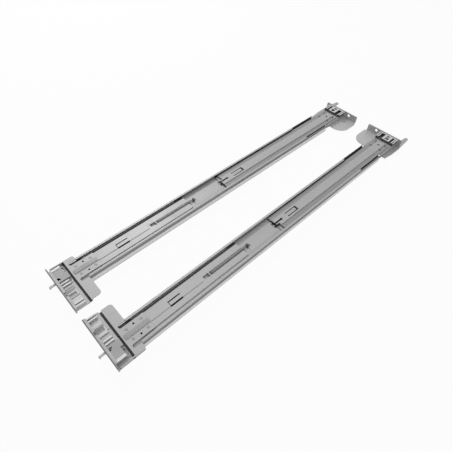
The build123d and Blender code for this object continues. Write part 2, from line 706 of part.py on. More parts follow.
def lance():
    """Outline of the cut around three sides of a tongue."""
    cut_end = LANCE_LENGTH - LANCE_END_CUT
    free = LANCE_HALF - LANCE_SIDE_CUT
    return span(0, LANCE_LENGTH, -LANCE_HALF, LANCE_HALF) - span(-1, cut_end, -free, free)


def rear_rivet_places():
    """Rivets that join the rear bracket to the rear arm."""
    last = RACK_DEPTH - REAR_RIVET_SETBACK
    return [
        (x, CHANNEL_MIDDLE + side * REAR_RIVET_OFFSET)
        for x in (last - REAR_RIVET_SPACING, last)
        for side in (-1, 1)
    ]


def rear_rivets():
    low = REAR_PLATE_TOP - HEAD_STEEL
    return [
        rivet(x, y, low, REAR_ARM_SHOULDER, RIVET_HEAD_RISE) for x, y in rear_rivet_places()
    ]


def latch_slot():
    """Window of a flange that a latch hook swings in."""
    width = HOOK_WIDTH + 2 * HOOK_CLEARANCE + LATCH_SLOT_CLEARANCE
    return Pos(CHANNEL_MIDDLE, HOLE_HEIGHT + LATCH_SLOT_LIFT) * Rectangle(width, LATCH_SLOT_HEIGHT)


def front_bracket():
    """Front bracket: flange, floor, riser and plate of one bent sheet, with wings and a tongue."""
    flange = span(0, HEAD_LENGTH + FLANGE_OVERHANG, FLANGE_BOTTOM, FLANGE_TOP)
    flange = fillet(flange.vertices(), FLANGE_CORNER_RADIUS)
    flange -= Pos(SCREW_HOLE_AT, HOLE_HEIGHT) * Circle(SCREW_HOLE_RADIUS)
    flange -= latch_slot()
    bracket = along_x(flange, 0, FLANGE_STEEL)
    riser = PLATE_START + HEAD_STEEL
    section = span(0, riser, HEAD_FLOOR, HEAD_FLOOR_TOP)
    section += span(PLATE_START, riser, HEAD_FLOOR, PLATE_TOP)
    section += span(PLATE_START, PLATE_END, FRONT_ARM_TOP, PLATE_TOP)
    bracket += along_y(section, PLATE_INNER_END, PLATE_OUTER_END - HEAD_STEEL)
    side = span(HOUSING_START, PLATE_END, HEAD_FLOOR, PLATE_TOP)
    side += span(FLANGE_STEEL, HOUSING_START, HEAD_FLOOR, HEAD_FLOOR_TOP)
    bracket += along_y(side, PLATE_OUTER_END - HEAD_STEEL, PLATE_OUTER_END)
    tongue = span(PLATE_START, TONGUE_END, TONGUE_INNER_EDGE, TONGUE_OUTER_EDGE)
    bracket += upward(tongue, FRONT_ARM_TOP, PLATE_TOP)
    ridge = FRONT_RIDGE_HALF
    y = CHANNEL_MIDDLE
    raised = span(PLATE_START + RIDGE_START_SETBACK, TONGUE_END, y - ridge, y + ridge)
    bracket += upward(raised, PLATE_TOP, PLATE_TOP + TONGUE_RIDGE_RISE)
    half = TRACK_SLOT_WIDTH / 2
    for edge in (TONGUE_INNER_EDGE - half, TONGUE_OUTER_EDGE + half):
        slot = Pos(TRACK_SLOT_START + half, edge) * Circle(half)
        slot += span(TRACK_SLOT_START + half, CHANNEL_START + 1, edge - half, edge + half)
        bracket -= upward(slot, FRONT_ARM_TOP - 1, PLATE_TOP + 1)
    bracket -= upward(corner_waste(PLATE_INNER_END, 1, WING_RADIUS), 0, FLANGE_TOP)
    bracket -= upward(corner_waste(PLATE_OUTER_END, -1, OUTER_CORNER_RADIUS), 0, FLANGE_TOP)
    for x, across in front_rivet_places():
        bracket -= peg(x, across, RIVET_SHANK_RADIUS, FRONT_ARM_TOP, PLATE_TOP + 1)
    for x, across in gauge_holes():
        bracket -= peg(x, across, GAUGE_HOLE_RADIUS, FRONT_ARM_TOP, PLATE_TOP + 1)
    return bracket


def corner_waste(edge, inward, radius):
    """What a round corner leaves outside it at the rear of the front plate, at one edge."""
    middle = edge + inward * radius
    low, high = sorted((edge - inward, middle))
    return span(PLATE_END - radius, PLATE_END + 1, low, high) - Pos(
        PLATE_END - radius, middle
    ) * Circle(radius)


def comb(ribs, ledges):
    """Section of a cast housing's thin tall ribs and broader low ledges, without its floor."""
    section = Sketch()
    for middle, top in ribs:
        section += span(middle - RIB_WIDTH / 2, middle + RIB_WIDTH / 2, HOUSING_FLOOR, top)
    for y0, y1, top in ledges:
        section += span(y0, y1, HOUSING_FLOOR, top)
    return section


def latch_cavity():
    """Space in a housing for the hook, its pin and its spring, with a roof over it."""
    y = CHANNEL_MIDDLE
    low = HEAD_FLOOR_TOP
    half = HOOK_WIDTH / 2 + HOOK_CLEARANCE
    room = span(y - half, y + half, low, ROOF_TOP - ROOF_STEEL)
    cavity = along_x(room, FLANGE_STEEL, HOUSING_END - ROOF_STEEL)
    reach = y + half + TORSION_SPRING_LENGTH + HOOK_CLEARANCE
    spring_room = span(y - half, reach, low, ROOF_TOP - ROOF_STEEL)
    cavity += along_x(spring_room, HOOK_PIVOT_DEPTH - HOOK_ROOM, HOOK_PIVOT_DEPTH + HOOK_ROOM)
    return cavity


def front_latch_housing():
    """Cast housing behind the front flange, with its ribs, pockets and latch cavity."""
    start, end = HOUSING_INNER_END, HOUSING_OUTER_END
    floor = span(start, end, HEAD_FLOOR_TOP, HOUSING_FLOOR)
    housing = along_x(floor, FLANGE_STEEL, HOUSING_END)
    end_wall = (end - END_WALL_WIDTH, end, END_WALL_TOP)
    walls = comb(FRONT_RIBS, (*FRONT_LEDGES, (*ROOF, ROOF_TOP), end_wall))
    housing += along_x(walls, HOUSING_START, COMB_END)
    housing += along_x(span(*BACK_ROOF, HOUSING_FLOOR, ROOF_TOP), COMB_END, HOUSING_END)
    dip = span(*BACK_DIP, HOUSING_FLOOR - BACK_DIP_DEPTH, HOUSING_FLOOR)
    housing -= along_x(dip, COMB_END, HOUSING_END)
    rim_top = FLANGE_TOP - HOUSING_RIM_DROP
    rim = span(start, end, HOUSING_FLOOR, rim_top)
    rim -= span(*RIM_NOTCH, rim_top - RIM_NOTCH_DEPTH, FLANGE_TOP)
    housing += along_x(rim, FLANGE_STEEL, HOUSING_START)
    housing -= latch_cavity()
    half = SCREW_HOLE_RADIUS + SCREW_ROOM_CLEARANCE
    screw_room = span(SCREW_HOLE_AT - half, SCREW_HOLE_AT + half, HEAD_FLOOR_TOP, SCREW_ROOM_TOP)
    housing -= along_x(screw_room, FLANGE_STEEL, HOUSING_END - SCREW_ROOM_SETBACK)
    window = make_face(Polyline(*ROOF_WINDOW, close=True))
    housing -= upward(window, ROOF_WINDOW_LOW, ROOF_TOP + 1)
    trigger = chamfer(Rectangle(*TRIGGER_SLOT_SIZE).vertices(), TRIGGER_SLOT_CHAMFER)
    housing -= upward(Pos(*TRIGGER_SLOT_AT) * trigger, HEAD_FLOOR_TOP, HOUSING_FLOOR)
    return housing - latch_pin()


def latch_pin():
    """Pin that a latch hook turns on, carried in the housing on both sides."""
    y = CHANNEL_MIDDLE
    near = y - HOOK_WIDTH / 2 - HOOK_CLEARANCE - LATCH_PIN_SEAT
    far = y + HOOK_WIDTH / 2 + 2 * HOOK_CLEARANCE + TORSION_SPRING_LENGTH + LATCH_PIN_SEAT
    pin = Pos(HOOK_PIVOT_DEPTH, HOOK_PIVOT_HEIGHT) * pin_outline(LATCH_PIN_RADIUS)
    return along_y(pin, near, far)


def latch_hook(reach):
    """Hook that grips the rack's post: a bar with a claw, a hub and a tail."""
    x, z = HOOK_PIVOT_DEPTH, HOOK_PIVOT_HEIGHT
    bar_low = HOLE_HEIGHT - HOOK_DROP
    bar_top = bar_low + HOOK_BAR
    profile = span(-reach, x, bar_low, bar_top)
    profile += Pos(x, z) * RegularPolygon(HOOK_HUB_RADIUS, SMALL_ROUND_SIDES)
    profile += span(x, x + HOOK_TAIL_LENGTH, z + HOOK_TAIL_LOW, z + HOOK_TAIL_HIGH)
    claw_root = CLAW_LENGTH - reach
    claw_middle = CLAW_LENGTH / 2 - reach
    claw = Polyline(
        (-reach, bar_top),
        (-reach, bar_low - CLAW_DROP),
        (claw_middle, bar_low - CLAW_TIP_DROP),
        (claw_root, bar_low),
        (claw_root, bar_top),
        close=True,
    )
    profile += make_face(claw)
    profile -= Pos(x, z) * pin_hole(LATCH_PIN_RADIUS)
    y = CHANNEL_MIDDLE
    return along_y(profile, y - HOOK_WIDTH / 2, y + HOOK_WIDTH / 2)


def latch_spring():
    """Torsion spring beside the hook, with one leg on the hook's side and one on the floor."""
    x, z = HOOK_PIVOT_DEPTH, HOOK_PIVOT_HEIGHT
    start = CHANNEL_MIDDLE + HOOK_WIDTH / 2 + HOOK_CLEARANCE
    end = start + TORSION_SPRING_LENGTH
    inside = LATCH_PIN_RADIUS + TORSION_SPRING_CLEARANCE
    sides = SMALL_ROUND_SIDES
    ring = RegularPolygon(inside + TORSION_SPRING_WIRE, sides, major_radius=False)
    ring = Pos(x, z) * (ring - RegularPolygon(inside, sides, major_radius=False))
    coil = along_y(ring, start, end)
    leg_top = z - inside
    forward = span(x - TORSION_SPRING_LEG, x, leg_top - TORSION_SPRING_WIRE, leg_top)
    coil += along_y(forward, end - TORSION_SPRING_WIRE, end)
    return coil


def rear_bracket():
    """Rear bracket: flange, raised plate under the arm, a low rounded wing and a low outer tab."""
    flange = span(REAR_FLANGE_INNER_END, HEAD_LENGTH, WING_TOP - HEAD_STEEL, FLANGE_TOP)
    flange = fillet(flange.vertices(), FLANGE_CORNER_RADIUS)
    flange -= Pos(SCREW_HOLE_AT, HOLE_HEIGHT) * Circle(SCREW_HOLE_RADIUS)
    flange -= latch_slot()
    end = RACK_DEPTH - FLANGE_STEEL
    bracket = along_x(flange, end, RACK_DEPTH)
    half = REAR_PLATE_HALF
    low = REAR_PLATE_TOP - HEAD_STEEL
    section = span(-half, half, low, REAR_PLATE_TOP)
    section += span(-half, -half + HEAD_STEEL, WING_TOP - HEAD_STEEL, REAR_PLATE_TOP)
    section += span(half - HEAD_STEEL, half, TAB_TOP - HEAD_STEEL, REAR_PLATE_TOP)
    bracket += along_x(on_middle(section), REAR_PLATE_START, end)
    riser = CHANNEL_MIDDLE - half + HEAD_STEEL
    wing = span(REAR_PLATE_START + WING_SETBACK, end, REAR_WING_INNER_END, riser)
    wing_corner = wing.vertices().group_by(Axis.X)[0].sort_by(Axis.Y)[0]
    wing = fillet(wing_corner, REAR_WING_RADIUS)
    wing_back = wing.vertices().group_by(Axis.X)[-1].sort_by(Axis.Y)[0]
    wing = fillet(wing_back, REAR_WING_BACK_RADIUS)
    bracket += upward(wing, WING_TOP - HEAD_STEEL, WING_TOP)
    bracket += upward(outer_tab(), TAB_TOP - HEAD_STEEL, TAB_TOP)
    bracket -= upward(hook_room(), low, REAR_PLATE_TOP)
    for x, across in rear_rivet_places():
        bracket -= peg(x, across, RIVET_SHANK_RADIUS, low, REAR_PLATE_TOP)
    return bracket - peg(GUIDE_HOLE_AT, CHANNEL_MIDDLE, GUIDE_HOLE_RADIUS, low, REAR_PLATE_TOP)


def hook_room():
    """Window of the rear plate under the hook, its tail and its spring."""
    x, y = RACK_DEPTH - HOOK_PIVOT_DEPTH, CHANNEL_MIDDLE
    near = HOOK_WIDTH / 2 + HOOK_CLEARANCE
    far = near + TORSION_SPRING_LENGTH + 2 * HOOK_CLEARANCE
    return span(x - HOOK_TAIL_ROOM, x + HOOK_ROOM, y - near, y + far)


def outer_tab():
    """Outline of the low strip along the outer edge that runs on past the rear flange."""
    start = REAR_PLATE_START + TAB_SETBACK
    inner, outer = TAB_INNER_EDGE, TAB_OUTER_EDGE
    tip = RACK_DEPTH + TAB_REACH
    outline = make_face(
        Polyline(
            (start, inner),
            (start, outer - TAB_TAPER),
            (start + TAB_TAPER_LENGTH, outer),
            (RACK_DEPTH - TAB_BACK_INSET, outer),
            (tip, outer - TAB_TAPER),
            (tip, outer - TAB_WIDTH),
            (RACK_DEPTH + TAB_NECK_REACH, inner),
            close=True,
        )
    )
    return fillet(outline.vertices().group_by(Axis.X)[-1], TAB_TIP_RADIUS)


def rear_latch_housing():
    """Cast housing in front of the rear flange, with windows over its latch."""
    floor = REAR_PLATE_TOP
    start, end = REAR_HOUSING_INNER_END, CHANNEL_MIDDLE + REAR_PLATE_HALF
    section = span(start, end, floor, REAR_HOUSING_FLOOR)
    for y in REAR_RIBS:
        section += span(y - RIB_WIDTH / 2, y + RIB_WIDTH / 2, floor, REAR_RIB_TOP)
    section += span(*REAR_ROOF, floor, ROOF_TOP)
    housing = along_x(section, HOUSING_START, HOUSING_END)
    rim = span(start, end, floor, FLANGE_TOP - REAR_RIM_DROP)
    housing += along_x(rim, FLANGE_STEEL, HOUSING_START)
    housing -= latch_cavity()
    for window in (REAR_SPRING_WINDOW, REAR_HOOK_WINDOW):
        housing -= upward(span(*window), floor + REAR_WINDOW_LIFT, ROOF_TOP + 1)
    return from_rear(housing - latch_pin())


def from_rear(piece):
    """A piece drawn at the front flange, turned over to the rear flange."""
    return mirror(piece, about=Plane.YZ.offset(RACK_DEPTH / 2))


def rail_pieces():
    """Every piece of one rail, by name."""
    return {
        "main_channel": main_channel(),
        "channel_rivets": channel_rivets(),
        "cabinet_member": cabinet_member(),
        "slide_bumper": slide_bumper(),
        "outer_ball_cage": outer_ball_cage(),
        "outer_balls": outer_balls(),
        "intermediate_member": intermediate_member(),
        "inner_ball_cage": inner_ball_cage(),
        "inner_balls": inner_balls(),
        "inner_member": inner_member(),
        "release_lever": release_lever(),
        "release_lever_pin": release_lever_pin(),
        "front_arm": front_arm(),
        "front_bracket": front_bracket(),
        "front_rivets": front_rivets(),
        "front_latch_housing": front_latch_housing(),
        "front_latch_hook": latch_hook(FRONT_HOOK_REACH),
        "front_latch_pin": latch_pin(),
        "front_latch_spring": latch_spring(),
        "tension_spring": tension_spring(),
        "rear_arm": rear_arm(),
        "rear_bracket": rear_bracket(),
        "rear_rivets": rear_rivets(),
        "rear_latch_housing": rear_latch_housing(),
        "rear_latch_hook": from_rear(latch_hook(REAR_HOOK_REACH)),
        "rear_latch_pin": from_rear(latch_pin()),
        "rear_latch_spring": from_rear(latch_spring()),
    }


def place(piece, side):
    """Move a rail's piece to its side of the pair; the right rail is the left one's mirror."""
    moved = Pos(X_SHIFT, Y_SHIFT, 0) * piece
    return moved if side == "left" else mirror(moved, about=Plane.XZ)


def main():
    os.makedirs("parts", exist_ok=True)
    for name, made in rail_pieces().items():
        solids = made if isinstance(made, list) else [made]
        for side in ("left", "right"):
            placed = [solid for piece in solids for solid in place(piece, side).solids()]
            export_step(Compound(children=placed), f"parts/{side}_{name}.step")


main()
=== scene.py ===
# %% [markdown]
# # A pair of sliding rails for a rack server
# The two rails lie side by side as they come out of the box, server side down. The exact solids come
# from the part's CAD model. This lesson dresses them: it rounds the edges of the sheet metal, rolls
# the slide's members, sets real balls and rivets, winds the springs, and gives every finish its own
# shader. The photo's camera, its white ground and its lamps come from this script too.

import bmesh
import bpy
import json
import math
from mathutils import Matrix, Vector


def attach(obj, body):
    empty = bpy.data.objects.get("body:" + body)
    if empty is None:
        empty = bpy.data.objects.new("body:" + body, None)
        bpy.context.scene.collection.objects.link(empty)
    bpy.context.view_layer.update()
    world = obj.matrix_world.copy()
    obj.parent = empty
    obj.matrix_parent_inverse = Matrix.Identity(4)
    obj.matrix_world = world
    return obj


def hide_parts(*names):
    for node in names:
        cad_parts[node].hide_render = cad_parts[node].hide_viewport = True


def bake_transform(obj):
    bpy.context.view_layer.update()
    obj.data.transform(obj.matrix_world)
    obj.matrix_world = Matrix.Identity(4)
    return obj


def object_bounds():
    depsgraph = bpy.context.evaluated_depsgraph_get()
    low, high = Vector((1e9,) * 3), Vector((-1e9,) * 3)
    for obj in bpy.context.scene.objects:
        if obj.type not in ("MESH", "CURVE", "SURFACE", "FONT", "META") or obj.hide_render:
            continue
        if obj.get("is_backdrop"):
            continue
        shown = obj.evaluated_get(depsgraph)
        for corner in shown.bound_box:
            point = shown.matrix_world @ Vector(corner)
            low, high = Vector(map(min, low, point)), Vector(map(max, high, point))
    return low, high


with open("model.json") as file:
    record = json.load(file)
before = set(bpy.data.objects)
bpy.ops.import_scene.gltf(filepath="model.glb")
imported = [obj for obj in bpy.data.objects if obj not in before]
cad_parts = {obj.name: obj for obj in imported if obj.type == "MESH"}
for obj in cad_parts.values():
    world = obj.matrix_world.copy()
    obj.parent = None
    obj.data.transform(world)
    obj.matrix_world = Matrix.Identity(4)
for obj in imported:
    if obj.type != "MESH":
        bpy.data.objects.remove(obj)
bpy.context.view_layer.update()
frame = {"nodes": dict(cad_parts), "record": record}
MM = 0.001
SIDES = {"left": 1, "right": -1}


def put_in_scene(name, data):
    """A new object with this data, linked into the scene."""
    made = bpy.data.objects.new(name, data)
    bpy.context.scene.collection.objects.link(made)
    return made


# %% [markdown]
# The CAD model counts lengths from the outer face of the front flange, heights from the floor and
# widths from the inner end of the heads. One small function turns those maker's measures into the
# scene's metres, and mirrors them for the right rail, so that every later cell can speak in millimetres.

# %% Places on a rail
FLANGE_FACE_X = -366.25
HALF_GAP = 9.45
CHANNEL_MIDDLE = 58.9
RACK_DEPTH = 702.0


def spot(x, y, z, side):
    """A point of one rail in metres, from millimetres along, across and above the floor."""
    return Vector(((x + FLANGE_FACE_X) * MM, SIDES[side] * (y + HALF_GAP) * MM, z * MM))


print("left hook tip", [round(v, 4) for v in spot(-9.5, CHANNEL_MIDDLE, 15, "left")])

# %% [markdown]
# The photo's camera was found by fitting the corners of both rails. It stands half a metre above
# the floor, just outside the right rail's front end, and looks down at about 50 degrees through a
# fairly wide lens. Its three axes are written out here, because a fitted turn is more exact than
# typed angles.

# %% Camera
CAMERA_PLACE = Vector((-0.380576, -0.290711, 0.488269))
TO_THE_RIGHT = Vector((0.729772, -0.682901, 0.032852))
DOWNWARDS = Vector((-0.512115, -0.577835, -0.635488))
INTO_THE_PICTURE = Vector((0.452958, 0.446937, -0.771412))
PICTURE_WIDTH = 452
FOCAL_LENGTH_IN_PIXELS = 362.56
SENSOR_WIDTH = 36.0

camera_data = bpy.data.cameras.new("camera")
camera_data.sensor_width = SENSOR_WIDTH
camera_data.lens = SENSOR_WIDTH * FOCAL_LENGTH_IN_PIXELS / PICTURE_WIDTH
camera_data.clip_start = 0.01
camera_data.clip_end = 50
camera = put_in_scene("camera", camera_data)
turn = Matrix((TO_THE_RIGHT, -DOWNWARDS, -INTO_THE_PICTURE)).transposed()
camera.matrix_world = Matrix.Translation(CAMERA_PLACE) @ turn.to_4x4()
bpy.context.scene.camera = camera
bpy.context.scene.view_settings.view_transform = "Standard"
print("lens", round(camera_data.lens, 3), "mm")

# %% [markdown]
# Shader trees are easier to read as sums. `Wire` wraps one socket, and its operators add Math nodes,
# so that `1 - mask * 0.3` works as it is written. `Recipe` holds the tree of one material or world,
# makes any other node from its type, its settings and what goes into its sockets, and keeps the few
# steps that every finish shares.


# %% Shader arithmetic
class Wire:
    """One output socket that can be used in plain arithmetic."""

    def __init__(self, recipe, socket):
        self.recipe, self.socket = recipe, socket

    def maths(self, operation, first, second=0.0):
        return self.recipe.node("ShaderNodeMath", {"operation": operation}, {0: first, 1: second})

    def __add__(self, other):
        return self.maths("ADD", self, other)

    def __sub__(self, other):
        return self.maths("SUBTRACT", self, other)

    def __rsub__(self, other):
        return self.maths("SUBTRACT", other, self)

    def __mul__(self, other):
        return self.maths("MULTIPLY", self, other)

    def __abs__(self):
        return self.maths("ABSOLUTE", self)

    def clamped(self):
        return self.recipe.node("ShaderNodeClamp", {}, {"Value": self})

    __radd__ = __add__
    __rmul__ = __mul__


def grey(level):
    """A neutral colour with full alpha."""
    return (level, level, level, 1.0)


class Recipe:
    """The node tree of a material or a world."""

    SEEING_RAYS = ("Is Camera Ray", "Is Glossy Ray", "Is Transmission Ray")

    def __init__(self, owner):
        self.owner = owner
        owner.use_nodes = True
        self.tree = owner.node_tree
        self.tree.nodes.clear()

    def node(self, kind, settings=None, sockets=None, out=0):
        made = self.tree.nodes.new(kind)
        for key, value in (settings or {}).items():
            setattr(made, key, value)
        for key, value in (sockets or {}).items():
            if isinstance(value, Wire):
                self.tree.links.new(value.socket, made.inputs[key])
            else:
                made.inputs[key].default_value = value
        return Wire(self, made.outputs[out]) if len(made.outputs) else None

    def object_place(self):
        """Object coordinates, which stay with a piece when it moves."""
        return self.node("ShaderNodeTexCoord", out="Object")

    def noise(self, place, scale, **more):
        """Noise from 0 to 1, about 0.5 on average."""
        return self.node("ShaderNodeTexNoise", {}, {"Vector": place, "Scale": scale, **more})

    def step_up(self, value, start, end):
        """0 below the start, 1 above the end, and a straight rise between them."""
        risen = self.node("ShaderNodeValToRGB", {}, {0: value})
        ramp = risen.socket.node.color_ramp
        for element, place, level in zip(ramp.elements, (start, end), (0.0, 1.0)):
            element.position = place
            element.color = grey(level)
        return risen

    def blend_colours(self, share, first, second):
        """Mix two colours by a share from 0 to 1. A Mix node keeps its colours in sockets 6 and 7."""
        return self.node("ShaderNodeMix", {"data_type": "RGBA"}, {0: share, 6: first, 7: second}, out=2)

    def parts_of(self, vector):
        """The three numbers of a vector."""
        split = self.node("ShaderNodeSeparateXYZ", {}, {0: vector})
        return [Wire(self, socket) for socket in split.socket.node.outputs]

    def rail_place(self, mirrored):
        """Where a point lies, in millimetres along, across and up: on either rail, or across the pair."""
        along, across, up = self.parts_of(self.object_place())
        beside = abs(across) * 1000 - HALF_GAP if mirrored else across * 1000
        numbers = {"X": along * 1000 - FLANGE_FACE_X, "Y": beside, "Z": up * 1000}
        return self.node("ShaderNodeCombineXYZ", {}, numbers)

    def inside_box(self, place, low, high, rim):
        """1 well inside a box of rail places, and 0 outside it, with a soft rim."""
        above = self.node("ShaderNodeVectorMath", {"operation": "SUBTRACT"}, {0: place, 1: low})
        below = self.node("ShaderNodeVectorMath", {"operation": "SUBTRACT"}, {0: high, 1: place})
        depth = self.node("ShaderNodeVectorMath", {"operation": "MINIMUM"}, {0: above, 1: below})
        first, second, third = self.parts_of(depth)
        nearest = first.maths("MINIMUM", first.maths("MINIMUM", first, second), third)
        return (nearest * (1 / rim)).clamped()

    def shaded(self, colour, boxes, mirrored=True):
        """A colour with painted shade and painted light: each box of rail places blended towards the grey
        that the box names.
        """
        place = self.rail_place(mirrored) if boxes else None
        for low, high, strength, rim, level in boxes:
            share = self.inside_box(place, low, high, rim) * strength
            colour = self.blend_colours(share, colour, grey(level))
        return colour

    def finished(self, colour, rough, metal, relief):
        """The material, once its colour, roughness and bump are known."""
        sockets = {"Base Color": colour, "Roughness": rough, "Metallic": metal, "Normal": relief}
        surface = self.node("ShaderNodeBsdfPrincipled", {}, sockets)
        self.node("ShaderNodeOutputMaterial", {}, {"Surface": surface})
        return self.owner

    def sees_directly(self):
        """1 for rays that meet the ground from the camera, in a mirror or through glass, else 0."""
        return sum(self.node("ShaderNodeLightPath", out=ray) for ray in self.SEEING_RAYS).clamped()


print("Wire and Recipe are ready")

# %% [markdown]
# Sheet steel from the mill is drawn out under rollers, so its grain is very long one way and very
# fine the other. A noise whose Object coordinates are squeezed along the rail gives those streaks.
# A second, cloudy noise stands for the uneven passivation of the zinc, and a third for the dull
# marks that hands and packing leave. They change colour, roughness and a shallow bump together.

# %% A steel finish
ROLLED_STRETCH = (3.0, 130.0, 130.0)
EVEN_STRETCH = (120.0, 120.0, 120.0)
STREAK_SCALE = 1.0
STREAK_SHARE = 0.05
CLOUD_SCALE = 14.0
CLOUD_ROUGHNESS = 0.12
CLOUD_HEIGHT = 0.4
RUB_SCALE = 40.0
RUB_DISTORTION = 0.8
RUB_START, RUB_END = 0.56, 0.72
CONTRAST = 4.0
STEEL_SPREAD = 0.14
STEEL_RELIEF = 0.12
BRIGHTEST = 0.95


def either_side(level, spread):
    """A darker and a lighter grey, for a noise to choose between."""
    return grey(level * (1 - spread)), grey(min(level * (1 + spread), BRIGHTEST))


def steel(
    name,
    level,
    roughness,
    metal=0.3,
    clouds=0.07,
    marks=0.06,
    bump=0.006,
    lengthwise=True,
    shades=(),
    far_shades=(),
):
    """Plated steel with rolling streaks, clouds of passivation, dull handling marks, and boxes of painted
    shade and painted light.
    """
    recipe = Recipe(bpy.data.materials.new(name))
    place = recipe.object_place()
    stretch = ROLLED_STRETCH if lengthwise else EVEN_STRETCH
    streak_place = recipe.node("ShaderNodeMapping", {}, {"Vector": place, "Scale": stretch})
    streaks = recipe.noise(streak_place, STREAK_SCALE, Detail=1.0)
    cloud = recipe.noise(place, CLOUD_SCALE, Detail=2.0)
    rub = recipe.noise(place, RUB_SCALE, Detail=2.0, Distortion=RUB_DISTORTION)
    dull = recipe.step_up(rub, RUB_START, RUB_END)
    uneven = (cloud - 0.5) * clouds + (streaks - 0.5) * STREAK_SHARE
    share = (0.5 + uneven * CONTRAST - dull * marks).clamped()
    colour = recipe.blend_colours(share, *either_side(level, STEEL_SPREAD))
    colour = recipe.shaded(colour, shades)
    colour = recipe.shaded(colour, far_shades, mirrored=False)
    uneven_skin = (cloud - 0.5) * CLOUD_ROUGHNESS + (streaks - 0.5) * STREAK_SHARE
    rough = (roughness + uneven_skin + dull * marks).clamped()
    height = streaks + cloud * CLOUD_HEIGHT
    bumps = {"Strength": STEEL_RELIEF, "Distance": bump * MM, "Height": height}
    relief = recipe.node("ShaderNodeBump", {}, bumps)
    return recipe.finished(colour, rough, metal, relief)


print("greys about a half", either_side(0.5, STEEL_SPREAD))

# %% [markdown]
# The slots, grooves and troughs of the rails look nearly black, far darker than soft lamps leave them. So
# painted shade darkens the finish there, and a few other places are painted darker or lighter. Each place is
# a box on the rail, with how strongly it is painted, how wide its soft rim is and the grey it goes towards.
# The boxes follow the model's own edges, and nearly all serve both rails, because their widths count from
# each rail's own inner end.

# %% Painted shade and light on the sheet metal
PAINTED_SHADE_GREY = 0.02
UNDER_THE_WEB = 9.0


def shade(along, across, up, strength, rim=0.1, level=PAINTED_SHADE_GREY):
    """One box of painted shade or painted light, from its two ends along, across and up the rail."""
    low, high = zip(along, across, up)
    return low, high, strength, rim, level


def about_middle(reach):
    """From one side of the channel's middle to the other."""
    return (CHANNEL_MIDDLE - reach, CHANNEL_MIDDLE + reach)


def beside_middle(along, reach, up, strength, rim=0.1, level=PAINTED_SHADE_GREY):
    """The same box on both sides of the channel's middle."""
    near, far = reach
    return [
        shade(along, (CHANNEL_MIDDLE + start, CHANNEL_MIDDLE + end), up, strength, rim, level)
        for start, end in ((near, far), (-far, -near))
    ]


SHEET_PAINTED_SHADE_AND_LIGHT = [
    # painted shade in the trench between the front latch housing and the bracket's plate
    shade((23.0, 26.9), (-1.0, 90.0), (UNDER_THE_WEB, 13.9), 0.93, 0.3),
    # painted shade down in the slits of the front arm, and in the gauge holes of the bracket's tongue
    shade((103.6, 126.3), about_middle(5.2), (UNDER_THE_WEB, 13.9), 1.0),
    shade((48.0, 51.9), about_middle(11.5), (UNDER_THE_WEB, 15.3), 1.0, level=0.01),
    # painted shade down in the lock slot of the rear arm, and along the arm's front edge
    shade((326.0, 350.0), about_middle(5.6), (UNDER_THE_WEB, 13.6), 1.0),
    shade((329.0, 331.2), about_middle(17.5), (UNDER_THE_WEB, 15.5), 0.8, 0.3),
    # painted shade down in the cuts round the rear arm's lanced tongue, and in the one at its end
    shade((359.6, 387.4), about_middle(4.7), (UNDER_THE_WEB, 15.2), 1.0),
    shade((383.6, 387.4), about_middle(4.8), (UNDER_THE_WEB, 15.5), 1.0),
    # painted shade in the spring's trough, and on what lies close round the spring's coils
    shade((180.0, 252.0), about_middle(3.0), (UNDER_THE_WEB, 13.8), 0.8, level=0.05),
    shade((176.0, 253.0), about_middle(5.0), (12.6, 14.4), 0.4, 1.6, 0.06),
    # painted shade down in the guide hole between the rear rivets
    shade((655.0, 660.4), about_middle(2.6), (5.0, 15.1), 1.0),
    # painted shade on the channel's spring tab and in its hole
    shade((258.0, 266.0), about_middle(3.6), (UNDER_THE_WEB, 17.0), 0.75, 0.3, 0.03),
    # the top edge of the front flange, painted darker
    shade((-1.0, 1.7), (-2.0, 92.0), (18.4, 21.0), 0.72, 0.5, 0.05),
    # the ridge of the front bracket's tongue, painted darker
    shade((29.0, 69.3), about_middle(4.0), (16.1, 17.5), 0.3, 0.3, 0.08),
    # the rear bracket's low wing, painted lighter than the rest
    shade((641.0, 699.5), (-2.0, 38.0), (4.0, 7.0), 0.6, 1.0, 0.75),
    # painted shade in both long slits of the front arm and on their rims, and in both side cuts of the rear
    # arm's tongue
    *beside_middle((103.8, 126.2), (2.7, 5.2), (UNDER_THE_WEB, 14.9), 1.0),
    *beside_middle((360.0, 387.0), (3.0, 4.8), (UNDER_THE_WEB, 15.5), 0.9),
    # painted shade in the open rear stretch beside the rear arm, where the channel's lips are cut back
    *beside_middle((558.0, 636.0), (16.9, 22.0), (UNDER_THE_WEB, 13.75), 0.95),
    *beside_middle((558.0, 636.0), (17.4, 22.0), (UNDER_THE_WEB, 15.4), 0.7, 0.3),
    # painted shade in the grooves between the rear arm and the lips
    *beside_middle((331.0, 560.0), (17.3, 22.0), (UNDER_THE_WEB, 13.2), 0.9, 0.2),
    # painted shade on the inner rims of the lips
    *beside_middle((43.0, 561.0), (18.1, 18.7), (15.0, 16.7), 0.75, 0.15),
    # soft painted shade on the low flanks of the rear arm and on the bare web between the arms
    *beside_middle((331.0, 633.0), (11.5, 30.0), (12.0, 14.2), 0.25, 5.0),
    *beside_middle((251.0, 331.0), (10.5, 30.0), (10.0, 13.0), 0.5, 6.0),
    # painted shade on the flanks of the rear arm, beside its raised band
    *beside_middle((331.0, 675.0), (8.4, 25.0), (12.0, 15.2), 0.3, 0.8),
    # painted shade on the channel's outer walls
    *beside_middle((43.0, 633.0), (21.9, 24.0), (11.4, 17.6), 0.5, 0.8),
]
# Painted shade in the groove beside the front arm, only on the side away from the camera.
FAR_PAINTED_SHADE = [
    shade((28.0, 252.0), (middle + 15.0, middle + 22.0), (UNDER_THE_WEB, 13.3), 0.9, 0.6)
    for middle in (HALF_GAP + CHANNEL_MIDDLE, -HALF_GAP - CHANNEL_MIDDLE)
]
print("shaded boxes", len(SHEET_PAINTED_SHADE_AND_LIGHT) + len(FAR_PAINTED_SHADE))
